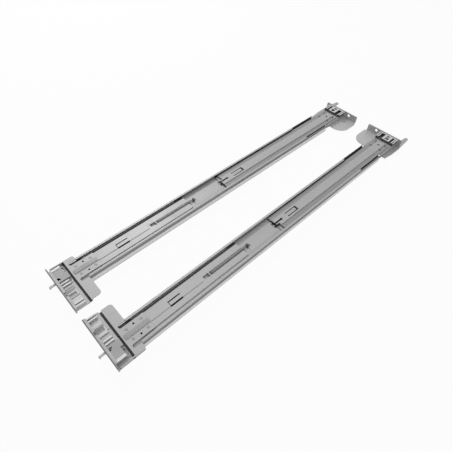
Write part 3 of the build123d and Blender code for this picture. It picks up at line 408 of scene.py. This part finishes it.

# %% [markdown]
# One function now serves every steel of the rail. The sheet is zinc plated and rather matte, the slide and
# its cages are smoother and more metallic, and the balls are polished. The slide's outer walls carry a
# painted reflection of the white ground, which keeps them light like the strip of them seen under each
# channel. A band low on the slide and the rear rivets carry painted shade.

# %% Steel finishes
SLIDE_PAINTED_REFLECTION_AND_SHADE = [
    # painted reflection of the white ground on the slide's outer walls
    *beside_middle((-5.0, 640.0), (18.0, 26.0), (-1.0, 12.0), 1.0, 0.5, 0.76),
    # painted shade along the low edges of the slide
    shade((0.0, 640.0), (30.0, 88.0), (1.6, 3.4), 0.5, 0.5, 0.1),
]
# painted shade on the rear rivets
REAR_RIVET_PAINTED_SHADE = [shade((630.0, 690.0), (30.0, 90.0), (12.0, 16.0), 0.8, 1.0, 0.03)]
STEELS = {
    "zinc_sheet": dict(level=0.50, roughness=0.50, shades=SHEET_PAINTED_SHADE_AND_LIGHT, far_shades=FAR_PAINTED_SHADE),
    "slide_steel": dict(level=0.42, roughness=0.44, metal=0.6, shades=SLIDE_PAINTED_REFLECTION_AND_SHADE),
    "cage_steel": dict(level=0.40, roughness=0.36, metal=0.7),
    "rivet_steel": dict(level=0.36, roughness=0.50, lengthwise=False, shades=REAR_RIVET_PAINTED_SHADE),
    "latch_steel": dict(level=0.46, roughness=0.42, metal=0.6, lengthwise=False),
    "spring_wire": dict(level=0.38, roughness=0.45, metal=0.5, lengthwise=False),
    "ball_steel": dict(
        level=0.55, roughness=0.10, metal=1.0, clouds=0.02, marks=0.02, bump=0.001, lengthwise=False
    ),
}
FINISHES = {name: steel(name, **looks) for name, looks in STEELS.items()}
print("steel finishes", sorted(FINISHES))

# %% [markdown]
# The latch housings are die castings. A casting has no grain: its skin is evenly matte, with a fine pebbled
# surface from the mould. Its rib tops and end wall are taken towards a light grey as painted highlights, the
# floors of its pockets get painted light, and its openings and roof get painted shade. The bumper is moulded
# rubber and the release lever is dark moulded plastic, so those two are not metal at all.

# %% Castings, rubber and plastic
BROAD_SCALE = 60.0
BROAD_SHARE, FINE_SHARE = 0.9, 0.4
BROAD_ROUGHNESS, FINE_ROUGHNESS = 0.2, 0.1
MOULDED_SPREAD = 0.16
PEBBLE_RELIEF = 0.25


def moulded(name, level, roughness, pebble, depth, metal=0.0, shades=()):
    """A cast or moulded skin: even, matte and finely pebbled, with boxes of painted shade and painted light.
    """
    recipe = Recipe(bpy.data.materials.new(name))
    place = recipe.object_place()
    fine = recipe.noise(place, pebble, Detail=2.0)
    broad = recipe.noise(place, BROAD_SCALE, Detail=4.0)
    share = (0.5 + (broad - 0.5) * BROAD_SHARE + (fine - 0.5) * FINE_SHARE).clamped()
    colour = recipe.blend_colours(share, *either_side(level, MOULDED_SPREAD))
    colour = recipe.shaded(colour, shades)
    uneven_skin = (broad - 0.5) * BROAD_ROUGHNESS + (fine - 0.5) * FINE_ROUGHNESS
    rough = (roughness + uneven_skin).clamped()
    bumps = {"Strength": PEBBLE_RELIEF, "Distance": depth * MM, "Height": fine}
    relief = recipe.node("ShaderNodeBump", {}, bumps)
    return recipe.finished(colour, rough, metal, relief)


HOUSING_PAINTED_LIGHT_AND_SHADE = [
    # painted light on the floor and low ledges of the front housing, and painted highlights on the tops of
    # its ribs
    shade((5.0, 18.9), (0.0, 56.0), (10.0, 15.9), 0.7, 0.5, 0.80),
    shade((5.0, 19.2), (0.0, 54.0), (17.2, 21.0), 0.9, 0.5, 0.82),
    # painted shade in the window in its roof, and in its trigger slot
    shade((5.2, 10.4), (58.6, 63.5), (UNDER_THE_WEB, 18.7), 1.0, level=0.01),
    shade((19.3, 22.5), (69.2, 81.4), (UNDER_THE_WEB, 13.3), 1.0, level=0.04),
    # a painted highlight on its end wall, and painted shade on its roof
    shade((5.0, 19.2), (78.0, 82.5), (18.4, 21.0), 0.9, 0.3, 0.82),
    shade((5.0, 23.6), (55.0, 78.0), (18.3, 19.3), 0.3, 0.4, 0.15),
    # painted shade on the rear housing's floor and in its windows, and painted highlights on the tops of its
    # ribs and roof
    shade((678.0, 698.0), (30.0, 84.0), (UNDER_THE_WEB, 18.2), 0.85, 0.4, 0.04),
    shade((678.0, 700.0), (30.0, 84.0), (18.5, 21.0), 0.7, 0.3, 0.85),
]
MOULDINGS = {
    "cast_housing": dict(
        level=0.52, roughness=0.46, pebble=500.0, depth=0.008, metal=0.3, shades=HOUSING_PAINTED_LIGHT_AND_SHADE
    ),
    "bumper_rubber": dict(level=0.03, roughness=0.75, pebble=900.0, depth=0.05),
    "lever_plastic": dict(level=0.06, roughness=0.50, pebble=1100.0, depth=0.04),
}
for name, looks in MOULDINGS.items():
    FINISHES[name] = moulded(name, **looks)
print("all finishes", len(FINISHES))

# %% [markdown]
# The CAD nodes come in as loose triangles with knife-sharp edges. Real sheet metal is tumbled or
# rolled, and its edges catch the light. Each node is copied, its doubles are merged, its flat faces
# are joined, and every sharp edge gets a narrow bevel. The large faces round a corner then set its
# normal, so that flat sheet stays flat beside its bevels. A node that a later cell makes anew is
# left out.

# %% Sheet metal with real edges
SLOT_OF = {part["node"]: part["material_slot"] for part in frame["record"]["subparts"]}
BODY_OF = {
    member: body_name
    for body_name, members in frame["record"]["behaviour"]["bodies"].items()
    for member in members
}
MADE_ANEW = (
    "cabinet_member",
    "intermediate_member",
    "outer_balls",
    "inner_balls",
    "channel_rivets",
    "front_rivets",
    "rear_rivets",
    "tension_spring",
    "front_latch_spring",
    "rear_latch_spring",
)
EDGE_WIDTHS = {"main_channel": 0.22, "front_bracket": 0.3, "rear_bracket": 0.3, "slide_bumper": 0.6}
EDGE_WIDTH = 0.18
DOUBLES_WITHIN = 2e-6
FLAT_BELOW = math.radians(0.5)
SHARP_ABOVE = math.radians(40)
SAME_SURFACE = math.radians(50)
BEVEL_SEGMENTS = 2
BEVEL_PROFILE = 0.6


def finish_piece(made, node):
    """Give a new piece its material, and hide the CAD node that it stands for."""
    slot_name = SLOT_OF[node]
    made.data.materials.clear()
    made.data.materials.append(FINISHES[slot_name])
    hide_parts(node)


def weigh_normals(mesh):
    """Let the large faces around each corner set its normal, so that flat sheet looks flat."""
    faces_at = [[] for _ in mesh.vertices]
    for face in mesh.polygons:
        for corner in face.vertices:
            faces_at[corner].append((face.normal.copy(), face.area))
    least = math.cos(SAME_SURFACE)
    normals = []
    for face in mesh.polygons:
        for corner in face.vertices:
            total = Vector()
            for normal, area in faces_at[corner]:
                if normal.dot(face.normal) > least:
                    total += normal * area
            normals.append(total.normalized())
    mesh.normals_split_custom_set(normals)


def softened(node, width):
    """A copy of a CAD node, merged and with its sharp edges bevelled."""
    shape = bmesh.new()
    shape.from_mesh(frame["nodes"][node].data)
    bmesh.ops.remove_doubles(shape, verts=shape.verts, dist=DOUBLES_WITHIN)
    bmesh.ops.dissolve_limit(shape, angle_limit=FLAT_BELOW, verts=shape.verts, edges=shape.edges)
    sharp = [
        edge
        for edge in shape.edges
        if len(edge.link_faces) == 2 and edge.calc_face_angle(0.0) > SHARP_ABOVE
    ]
    bmesh.ops.bevel(
        shape,
        geom=sharp,
        offset=width * MM,
        segments=BEVEL_SEGMENTS,
        profile=BEVEL_PROFILE,
        affect="EDGES",
        clamp_overlap=True,
    )
    mesh = bpy.data.meshes.new(node + "_dressed")
    shape.to_mesh(mesh)
    shape.free()
    mesh.shade_smooth()
    weigh_normals(mesh)
    return put_in_scene(node + "_dressed", mesh)


dressed = {}
for node in frame["nodes"]:
    plain = node.split("_", 1)[1]
    if plain in MADE_ANEW:
        continue
    dressed[node] = softened(node, EDGE_WIDTHS.get(plain, EDGE_WIDTH))
    finish_piece(dressed[node], node)
    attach(dressed[node], BODY_OF[node])
print("bevelled pieces", len(dressed))

# %% [markdown]
# Geometry Nodes suit whatever repeats. This cell is a small workbench for them: it makes a tree with
# named inputs, links nodes by name, and turns the evaluated result into a plain mesh. Inputs are set
# by their identifiers, because two inputs may share a name.


# %% A workbench for node trees
class Jig:
    """A Geometry Nodes tree under construction."""

    def __init__(self, name, inputs):
        self.tree = bpy.data.node_groups.new(name, "GeometryNodeTree")
        self.tree.interface.new_socket("Geometry", in_out="INPUT", socket_type="NodeSocketGeometry")
        self.keys = {}
        for label, (kind, value) in inputs.items():
            socket = self.tree.interface.new_socket(label, in_out="INPUT", socket_type=kind)
            if value is not None:
                socket.default_value = value
            self.keys[label] = socket.identifier
        self.tree.interface.new_socket("Geometry", in_out="OUTPUT", socket_type="NodeSocketGeometry")
        self.entry = self.tree.nodes.new("NodeGroupInput")
        self.exit = self.tree.nodes.new("NodeGroupOutput")

    def given(self, label):
        return self.entry.outputs[label]

    def node(self, kind, settings=None, sockets=None):
        """A new node, or rather its first output, which is what the next node wants."""
        made = self.tree.nodes.new(kind)
        for key, value in (settings or {}).items():
            setattr(made, key, value)
        for key, value in (sockets or {}).items():
            if isinstance(value, bpy.types.NodeSocket):
                self.tree.links.new(value, made.inputs[key])
            else:
                made.inputs[key].default_value = value
        return made.outputs[0]

    def joined(self, *geometries):
        gathered = self.tree.nodes.new("GeometryNodeJoinGeometry")
        for geometry in geometries:
            self.tree.links.new(geometry, gathered.inputs[0])
        return gathered.outputs[0]

    def close(self, geometry):
        """End the tree in Realize Instances and Set Material."""
        real = self.node("GeometryNodeRealizeInstances", {}, {0: geometry})
        finish = {"Geometry": real, "Material": self.given("Finish")}
        painted = self.node("GeometryNodeSetMaterial", {}, finish)
        self.tree.links.new(painted, self.exit.inputs[0])


def built(jig, name, start_mesh, values):
    """Run a tree on a mesh and return the result as a plain object."""
    bench = put_in_scene(name, start_mesh)
    modifier = bench.modifiers.new("made", "NODES")
    modifier.node_group = jig.tree
    for label, value in values.items():
        modifier[jig.keys[label]] = value
    bpy.context.view_layer.update()
    evaluated = bench.evaluated_get(bpy.context.evaluated_depsgraph_get())
    mesh = bpy.data.meshes.new_from_object(evaluated)
    bench.modifiers.remove(modifier)
    bench.data = mesh
    return bench


def plain_mesh(name, places, edges=(), faces=()):
    """A mesh of bare points, or with the edges or faces between them."""
    mesh = bpy.data.meshes.new(name)
    mesh.from_pydata([tuple(place) for place in places], edges, faces)
    return mesh


print("the jig is ready")

# %% [markdown]
# The slide's fixed and middle members are rolled: one strip of steel is bent between rollers to a
# section that stays the same from end to end. So the shape follows a rule, and a tree can make it.
# The section is drawn once, with round bends and a round race pressed in for each row of balls, and
# the tree draws it out to the member's length. A longer slide needs only another number.

# %% Rolled members of the slide
RACE_RADIUS = 2.0
WALL_TO_BALL = 1.55
RACE_REACH = math.degrees(math.acos(WALL_TO_BALL / RACE_RADIUS))
OUTER_ROW = 4.4
INNER_ROW = 3.0
MEMBER_START = 12.0
BEND_RADIUS = 1.2
LIP_RADIUS = 0.4
SHARP_IN_STEEL = math.radians(32)
WELD_WITHIN = 1e-6


def arc(across, up, radius, start, end, steps=6):
    """Points of an arc of the section, between two angles in degrees."""
    turns = [math.radians(start + (end - start) * i / steps) for i in range(steps + 1)]
    return [(across + radius * math.cos(turn), up + radius * math.sin(turn)) for turn in turns]


def rolled_section(half, wall, low, web, top, outer_race, inner_race):
    """A section that is open downwards: one half from the web's top round to its underside, mirrored."""
    bend, lip = BEND_RADIUS, LIP_RADIUS
    inside = half - wall
    points = [(0.0, top)] + arc(half - bend, top - bend, bend, 90, 0)
    if outer_race:
        points += arc(half + WALL_TO_BALL, outer_race, RACE_RADIUS, 180 - RACE_REACH, 180 + RACE_REACH)
    points += arc(half - lip, low + lip, lip, 0, -90, 3)
    points += arc(inside + lip, low + lip, lip, -90, -180, 3)
    points += arc(inside - WALL_TO_BALL, inner_race, RACE_RADIUS, -RACE_REACH, RACE_REACH)
    points += arc(inside - lip, web - lip, lip, 0, 90, 3) + [(0.0, web)]
    mirrored = [(-across, up) for across, up in reversed(points[1:-1])]
    return points + mirrored


CABINET_LENGTH = 618.0
CABINET_SIZES = dict(half=22.5, wall=1.4, low=0.6, web=8.3, top=9.5)
INTERMEDIATE_LENGTH = 588.0
INTERMEDIATE_SIZES = dict(half=18.0, wall=1.6, low=0.6, web=6.0, top=7.2)
MEMBERS = {
    "cabinet_member": (
        CABINET_LENGTH,
        rolled_section(**CABINET_SIZES, outer_race=None, inner_race=OUTER_ROW),
    ),
    "intermediate_member": (
        INTERMEDIATE_LENGTH,
        rolled_section(**INTERMEDIATE_SIZES, outer_race=OUTER_ROW, inner_race=INNER_ROW),
    ),
}

section_jig = Jig(
    "rolled_member",
    {"Length": ("NodeSocketFloat", 0.6), "Finish": ("NodeSocketMaterial", None)},
)
section_face = section_jig.given("Geometry")
draw_out = section_jig.node("ShaderNodeCombineXYZ", {}, {"X": section_jig.given("Length")})
drawn = section_jig.node(
    "GeometryNodeExtrudeMesh",
    {"mode": "FACES"},
    {"Mesh": section_face, "Offset": draw_out, "Offset Scale": 1.0, "Individual": False},
)
near_end = section_jig.node("GeometryNodeFlipFaces", {}, {"Mesh": section_face})
both_ends = section_jig.joined(drawn, near_end)
welded = {"Geometry": both_ends, "Distance": WELD_WITHIN}
section_jig.close(section_jig.node("GeometryNodeMergeByDistance", {}, welded))

for side in SIDES:
    for plain, (length, section) in MEMBERS.items():
        node = f"{side}_{plain}"
        corners = [spot(MEMBER_START, CHANNEL_MIDDLE + across, up, side) for across, up in section]
        face = plain_mesh(node + "_section", corners, faces=[list(range(len(corners)))])
        face.update()
        if face.polygons[0].normal.x < 0:
            face.flip_normals()
        values = {"Length": length * MM, "Finish": FINISHES["slide_steel"]}
        member = built(section_jig, node + "_rolled", face, values)
        member.data.shade_smooth()
        member.data.set_sharp_from_angle(angle=SHARP_IN_STEEL)
        finish_piece(member, node)
        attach(member, BODY_OF[node])
        print(node, len(member.data.polygons), "faces")

# %% [markdown]
# A ball bearing slide runs on rows of hardened balls, held apart by a thin cage. Each row is the same
# ball again and again, so one tree sets a ball on every point that it is given. The balls are fine
# enough to look round close up, and there are few of them.

# %% Balls in their rows
BALL_RADIUS = 1.75
BALL_PITCH = 76.0
ROW_MIDDLE = 306.0
BALLS_IN_ROW = 4
BALL_SEGMENTS, BALL_RINGS = 24, 12
ROWS = {"outer_balls": (19.55, OUTER_ROW), "inner_balls": (14.85, INNER_ROW)}

ball_jig = Jig(
    "ball_rows",
    {
        "Ball radius": ("NodeSocketFloat", BALL_RADIUS * MM),
        "Finish": ("NodeSocketMaterial", None),
    },
)
one_ball = ball_jig.node(
    "GeometryNodeMeshUVSphere",
    {},
    {"Segments": BALL_SEGMENTS, "Rings": BALL_RINGS, "Radius": ball_jig.given("Ball radius")},
)
smooth_ball = ball_jig.node("GeometryNodeSetShadeSmooth", {}, {0: one_ball})
ball_at_points = {"Points": ball_jig.given("Geometry"), "Instance": smooth_ball}
ball_jig.close(ball_jig.node("GeometryNodeInstanceOnPoints", {}, ball_at_points))

for side in SIDES:
    for plain, (offset, height) in ROWS.items():
        node = f"{side}_{plain}"
        places = [
            spot(ROW_MIDDLE + steps * BALL_PITCH, CHANNEL_MIDDLE + sign * offset, height, side)
            for steps in [i - (BALLS_IN_ROW - 1) / 2 for i in range(BALLS_IN_ROW)]
            for sign in (-1, 1)
        ]
        points = plain_mesh(node + "_real", places)
        row = built(ball_jig, node + "_real", points, {"Finish": FINISHES["ball_steel"]})
        finish_piece(row, node)
        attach(row, BODY_OF[node])
print("balls", len(SIDES) * len(ROWS) * 2 * BALLS_IN_ROW)

# %% [markdown]
# The brackets are riveted to the arms, and the channel to the slide. A rivet is a turned piece, so
# its outline is drawn once as heights and radii and spun round. The tree then sets one on every
# rivet place, and a named input stretches it for a lower or higher head.

# %% Rivets
RIVET_SIDES = 20
HEAD_RADIUS = 2.4
HEAD_HEIGHT = 0.5
SHANK_RADIUS = 1.5
DOME_ANGLES = (0, 20, 40, 60, 78)
SHARP_IN_RIVET = math.radians(50)


def turned(name, outline):
    """A closed solid of revolution about Z from (radius, height) pairs, from the bottom up."""
    turns = [2 * math.pi * k / RIVET_SIDES for k in range(RIVET_SIDES)]
    shape = bmesh.new()
    rings = [
        [shape.verts.new((radius * MM * math.cos(t), radius * MM * math.sin(t), height * MM)) for t in turns]
        for radius, height in outline
    ]
    for low, high in zip(rings, rings[1:]):
        for k in range(RIVET_SIDES):
            after = (k + 1) % RIVET_SIDES
            shape.faces.new((low[k], low[after], high[after], high[k]))
    shape.faces.new(list(reversed(rings[0])))
    shape.faces.new(rings[-1])
    mesh = bpy.data.meshes.new(name)
    shape.to_mesh(mesh)
    shape.free()
    mesh.shade_smooth()
    mesh.set_sharp_from_angle(angle=SHARP_IN_RIVET)
    return mesh


rivet_jig = Jig(
    "rivets",
    {
        "Rivet": ("NodeSocketObject", None),
        "Head stretch": ("NodeSocketFloat", 1.0),
        "Finish": ("NodeSocketMaterial", None),
    },
)
info = rivet_jig.node("GeometryNodeObjectInfo", {}, {"Object": rivet_jig.given("Rivet")})
stretches = {"X": 1.0, "Y": 1.0, "Z": rivet_jig.given("Head stretch")}
rivet_at_points = {
    "Points": rivet_jig.given("Geometry"),
    "Instance": info.node.outputs["Geometry"],
    "Scale": rivet_jig.node("ShaderNodeCombineXYZ", {}, stretches),
}
rivet_jig.close(rivet_jig.node("GeometryNodeInstanceOnPoints", {}, rivet_at_points))

# Each set has its shank's end, the face under its heads, its stretch, and its places along and across.
RIVET_SETS = {
    "channel_rivets": (8.3, 11.0, 1.6, [(80.0, 0), (327.0, 0), (460.0, 0), (612.0, 0)]),
    "front_rivets": (12.5, 15.5, 0.5, [(37.7, 8.6), (37.7, -8.6), (62.0, 8.6), (62.0, -8.6)]),
    "rear_rivets": (10.9, 13.9, 0.5, [(646.8, 11.2), (646.8, -11.2), (665.9, 11.2), (665.9, -11.2)]),
}
dome = [
    (HEAD_RADIUS * math.cos(angle), HEAD_HEIGHT * math.sin(angle))
    for angle in map(math.radians, DOME_ANGLES)
]
for plain, (low, face_height, stretched, where) in RIVET_SETS.items():
    outline = [(SHANK_RADIUS, (low - face_height) / stretched), (SHANK_RADIUS, 0.0)] + dome
    rivet_blank = put_in_scene("rivet_blank", turned("rivet_blank", outline))
    for side in SIDES:
        node = f"{side}_{plain}"
        places = [spot(x, CHANNEL_MIDDLE + across, face_height, side) for x, across in where]
        values = {"Rivet": rivet_blank, "Head stretch": stretched, "Finish": FINISHES["rivet_steel"]}
        row = built(rivet_jig, node + "_turned", plain_mesh(node + "_turned", places), values)
        finish_piece(row, node)
        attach(row, BODY_OF[node])
    bpy.data.objects.remove(rivet_blank)
print("rivets", sum(len(SIDES) * len(kit[3]) for kit in RIVET_SETS.values()))

# %% [markdown]
# The photo shows a close-wound tension spring that pulls the front head back into the channel. A
# spring is one wire on a helix, so the tree makes a spiral curve and sweeps a round wire along it.
# The same tree winds the small torsion springs of the hooks. Straight lengths of wire, bent at
# their tips, are swept as well and joined to the coil.

# %% A tree that winds springs
POINTS_IN_A_TURN = 14
WIRE_SIDES = 8

spring_jig = Jig(
    "springs",
    {
        "Coil radius": ("NodeSocketFloat", 2.0 * MM),
        "Wire radius": ("NodeSocketFloat", 0.5 * MM),
        "Turns": ("NodeSocketFloat", 10.0),
        "Length": ("NodeSocketFloat", 10.0 * MM),
        "Finish": ("NodeSocketMaterial", None),
    },
)
helix = spring_jig.node(
    "GeometryNodeCurveSpiral",
    {},
    {
        "Resolution": POINTS_IN_A_TURN,
        "Rotations": spring_jig.given("Turns"),
        "Start Radius": spring_jig.given("Coil radius"),
        "End Radius": spring_jig.given("Coil radius"),
        "Height": spring_jig.given("Length"),
    },
)
on_its_side = {"Geometry": helix, "Rotation": (0.0, math.radians(90), 0.0)}
laid_down = spring_jig.node("GeometryNodeTransform", {}, on_its_side)
legs = spring_jig.node("GeometryNodeMeshToCurve", {}, {0: spring_jig.given("Geometry")})
wire_sizes = {"Resolution": WIRE_SIDES, "Radius": spring_jig.given("Wire radius")}
wire_round = spring_jig.node("GeometryNodeCurvePrimitiveCircle", {}, wire_sizes)
swept = spring_jig.node(
    "GeometryNodeCurveToMesh",
    {},
    {"Curve": spring_jig.joined(laid_down, legs), "Profile Curve": wire_round, "Fill Caps": True},
)
spring_jig.close(spring_jig.node("GeometryNodeSetShadeSmooth", {}, {0: swept}))


def wound(node, strands, coil_radius, wire_radius, turns, length):
    """A spring along X from the origin, with its legs, from sizes in millimetres."""
    points, edges = [], []
    for strand in strands:
        first = len(points)
        points += [tuple(MM * v for v in point) for point in strand]
        edges += [(i, i + 1) for i in range(first, len(points) - 1)]
    values = {
        "Coil radius": coil_radius * MM,
        "Wire radius": wire_radius * MM,
        "Turns": turns,
        "Length": length * MM,
        "Finish": FINISHES["spring_wire"],
    }
    return built(spring_jig, node + "_wound", plain_mesh(node + "_wound", points, edges), values)


print("the spring tree is ready")

# %% [markdown]
# The tension spring is hooked over two tabs: one of the front arm and one of the channel. When the head is
# pulled out, the front tab goes with it and the rear one stays. The piece is wound here at rest, between the
# two tabs.

# %% Tension springs
SPRING_START, SPRING_END = 184.0, 256.0
SPRING_HEIGHT = 13.8
FRONT_TAB, REAR_TAB = 179.0, 262.0
TAB_THICKNESS = 1.5
HOOK_BEYOND_TAB = 0.9
HOOK_TOP, HOOK_BEND_TOP, HOOK_BEND = 1.8, 0.4, 0.3
COIL_RADIUS, WIRE_RADIUS, COIL_TURNS = 1.9, 0.48, 62.0
COIL_STEP = 0.6


def hooked_end(tip, coil_end, inwards):
    """The wire from the top of a hook, along the axis to the coil's end and out to its first turn."""
    return [
        (tip, 0, HOOK_TOP),
        (tip, 0, HOOK_BEND_TOP),
        (tip + inwards * HOOK_BEND, 0, 0),
        (coil_end, 0, 0),
        (coil_end + inwards * COIL_STEP, 0, COIL_RADIUS),
    ]


coil_length = SPRING_END - SPRING_START
front_tip = FRONT_TAB - HOOK_BEYOND_TAB - SPRING_START
rear_tip = REAR_TAB + TAB_THICKNESS + HOOK_BEYOND_TAB - SPRING_START
strands = [hooked_end(front_tip, 0, 1), hooked_end(rear_tip, coil_length, -1)[::-1]]
for side in SIDES:
    node = f"{side}_tension_spring"
    spring = wound(node, strands, COIL_RADIUS, WIRE_RADIUS, COIL_TURNS, coil_length)
    spring.data.transform(Matrix.Translation(spot(SPRING_START, CHANNEL_MIDDLE, SPRING_HEIGHT, side)))
    finish_piece(spring, node)
    start = spot(REAR_TAB, CHANNEL_MIDDLE, SPRING_HEIGHT, side)
    end = spot(FRONT_TAB, CHANNEL_MIDDLE, SPRING_HEIGHT, side)
    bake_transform(spring)
print("tension springs wound")

# %% [markdown]
# Each hook turns on a cross pin and is pressed down by a torsion spring on the same pin. Its coil
# lies along the pin, so the swept wire is turned from the rail's direction to across it.

# %% Torsion springs
PIN_DEPTH, PIN_HEIGHT = 17.0, 14.4
TORSION_RADIUS, TORSION_WIRE, TORSION_TURNS, TORSION_LENGTH = 1.98, 0.3, 4.6, 2.9
TORSION_OFFSET = 2.2
LEG_STEP, LEG_DROP, LEG_LENGTH = 3.2, 1.95, 4.0
PINS = {"front": (PIN_DEPTH, -1), "rear": (RACK_DEPTH - PIN_DEPTH, 1)}
for side, sign in SIDES.items():
    for end_name, (x, outwards) in PINS.items():
        node = f"{side}_{end_name}_latch_spring"
        leg = [(LEG_STEP, 0.0, -LEG_DROP), (LEG_STEP, -sign * outwards * LEG_LENGTH, -LEG_DROP)]
        spring = wound(node, [leg], TORSION_RADIUS, TORSION_WIRE, TORSION_TURNS, TORSION_LENGTH)
        across = Matrix.Rotation(math.radians(90) * sign, 4, "Z")
        start = spot(x, CHANNEL_MIDDLE + TORSION_OFFSET, PIN_HEIGHT, side)
        spring.data.transform(Matrix.Translation(start) @ across)
        finish_piece(spring, node)
        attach(spring, BODY_OF[node])
print("torsion springs wound")

# %% [markdown]
# The rails lie on plain white. The floor is a pale matte sheet that still holds the rails' shadow,
# and the world is white to the camera and to reflections, but a softer grey as a light, so that the
# zinc keeps its own grey and does not wash out.

# %% Floor and world
HALF_FLOOR = 3.0
FLOOR_HEIGHT = -0.0004
FLOOR_WHITENESS = 0.95
FIBRE_SCALE = 40.0
PAPER_DARK, PAPER_LIGHT = 0.92, 0.95
PAPER_ROUGHNESS = 0.9
SKY_LIGHT = 0.25

floor_corners = [
    (x * HALF_FLOOR, y * HALF_FLOOR, FLOOR_HEIGHT) for x, y in ((-1, -1), (1, -1), (1, 1), (-1, 1))
]
floor = put_in_scene("floor", plain_mesh("floor", floor_corners, faces=[(0, 1, 2, 3)]))
paper = Recipe(bpy.data.materials.new("floor_paper"))
fibre = paper.noise(paper.object_place(), FIBRE_SCALE, Detail=3.0)
paper_colour = paper.blend_colours(fibre, grey(PAPER_DARK), grey(PAPER_LIGHT))
paper_sockets = {"Base Color": paper_colour, "Roughness": PAPER_ROUGHNESS}
paper_skin = paper.node("ShaderNodeBsdfPrincipled", {}, paper_sockets)
seen_white = paper.node("ShaderNodeEmission", {}, {"Color": grey(1.0), "Strength": 1.0})
share_white = paper.sees_directly() * FLOOR_WHITENESS
paper_seen = paper.node("ShaderNodeMixShader", {}, {0: share_white, 1: paper_skin, 2: seen_white})
paper.node("ShaderNodeOutputMaterial", {}, {"Surface": paper_seen})
floor.data.materials.append(paper.owner)
floor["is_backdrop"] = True

world = bpy.data.worlds.new("world")
bpy.context.scene.world = world
sky = Recipe(world)
soft_sky = sky.node("ShaderNodeBackground", {}, {"Color": grey(1.0), "Strength": SKY_LIGHT})
white_sky = sky.node("ShaderNodeBackground", {}, {"Color": grey(1.0), "Strength": 1.0})
sky_seen = sky.node("ShaderNodeMixShader", {}, {0: sky.sees_directly(), 1: soft_sky, 2: white_sky})
sky.node("ShaderNodeOutputWorld", {}, {"Surface": sky_seen})
print("floor and world set")

# %% [markdown]
# Three softboxes model the metal. A small one beyond the far rail is the key: it draws the bright lips and
# leaves the grooves behind them in shadow, which painted shade in the finishes deepens. A broad one overhead
# gives the soft even top light of a catalogue picture, and a faint one before the heads opens the castings.


# %% Lamps
def softbox(name, place, target, size, watts):
    """A square area lamp that looks at a point."""
    data = bpy.data.lights.new(name, "AREA")
    data.shape = "SQUARE"
    data.size = size
    data.energy = watts
    lamp = put_in_scene(name, data)
    away = Vector(place) - Vector(target)
    lamp.matrix_world = Matrix.Translation(place) @ away.to_track_quat("Z", "Y").to_matrix().to_4x4()


MIDDLE_OF_PAIR = (0.0, 0.0, 0.0)
NEAR_RIGHT_HEAD = (-0.3, -0.08, 0.0)
softbox("key_softbox", (0.3, 1.4, 1.1), MIDDLE_OF_PAIR, size=0.35, watts=11.5)
softbox("overhead_softbox", (0.3, 0.0, 1.7), MIDDLE_OF_PAIR, size=1.2, watts=3.0)
softbox("front_softbox", (-0.75, -0.55, 0.55), NEAR_RIGHT_HEAD, size=0.6, watts=1.0)
print("lamps", [lamp.name for lamp in bpy.data.lights])

# %% Size
low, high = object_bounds()
print("visual box", [round(v, 4) for v in high - low])
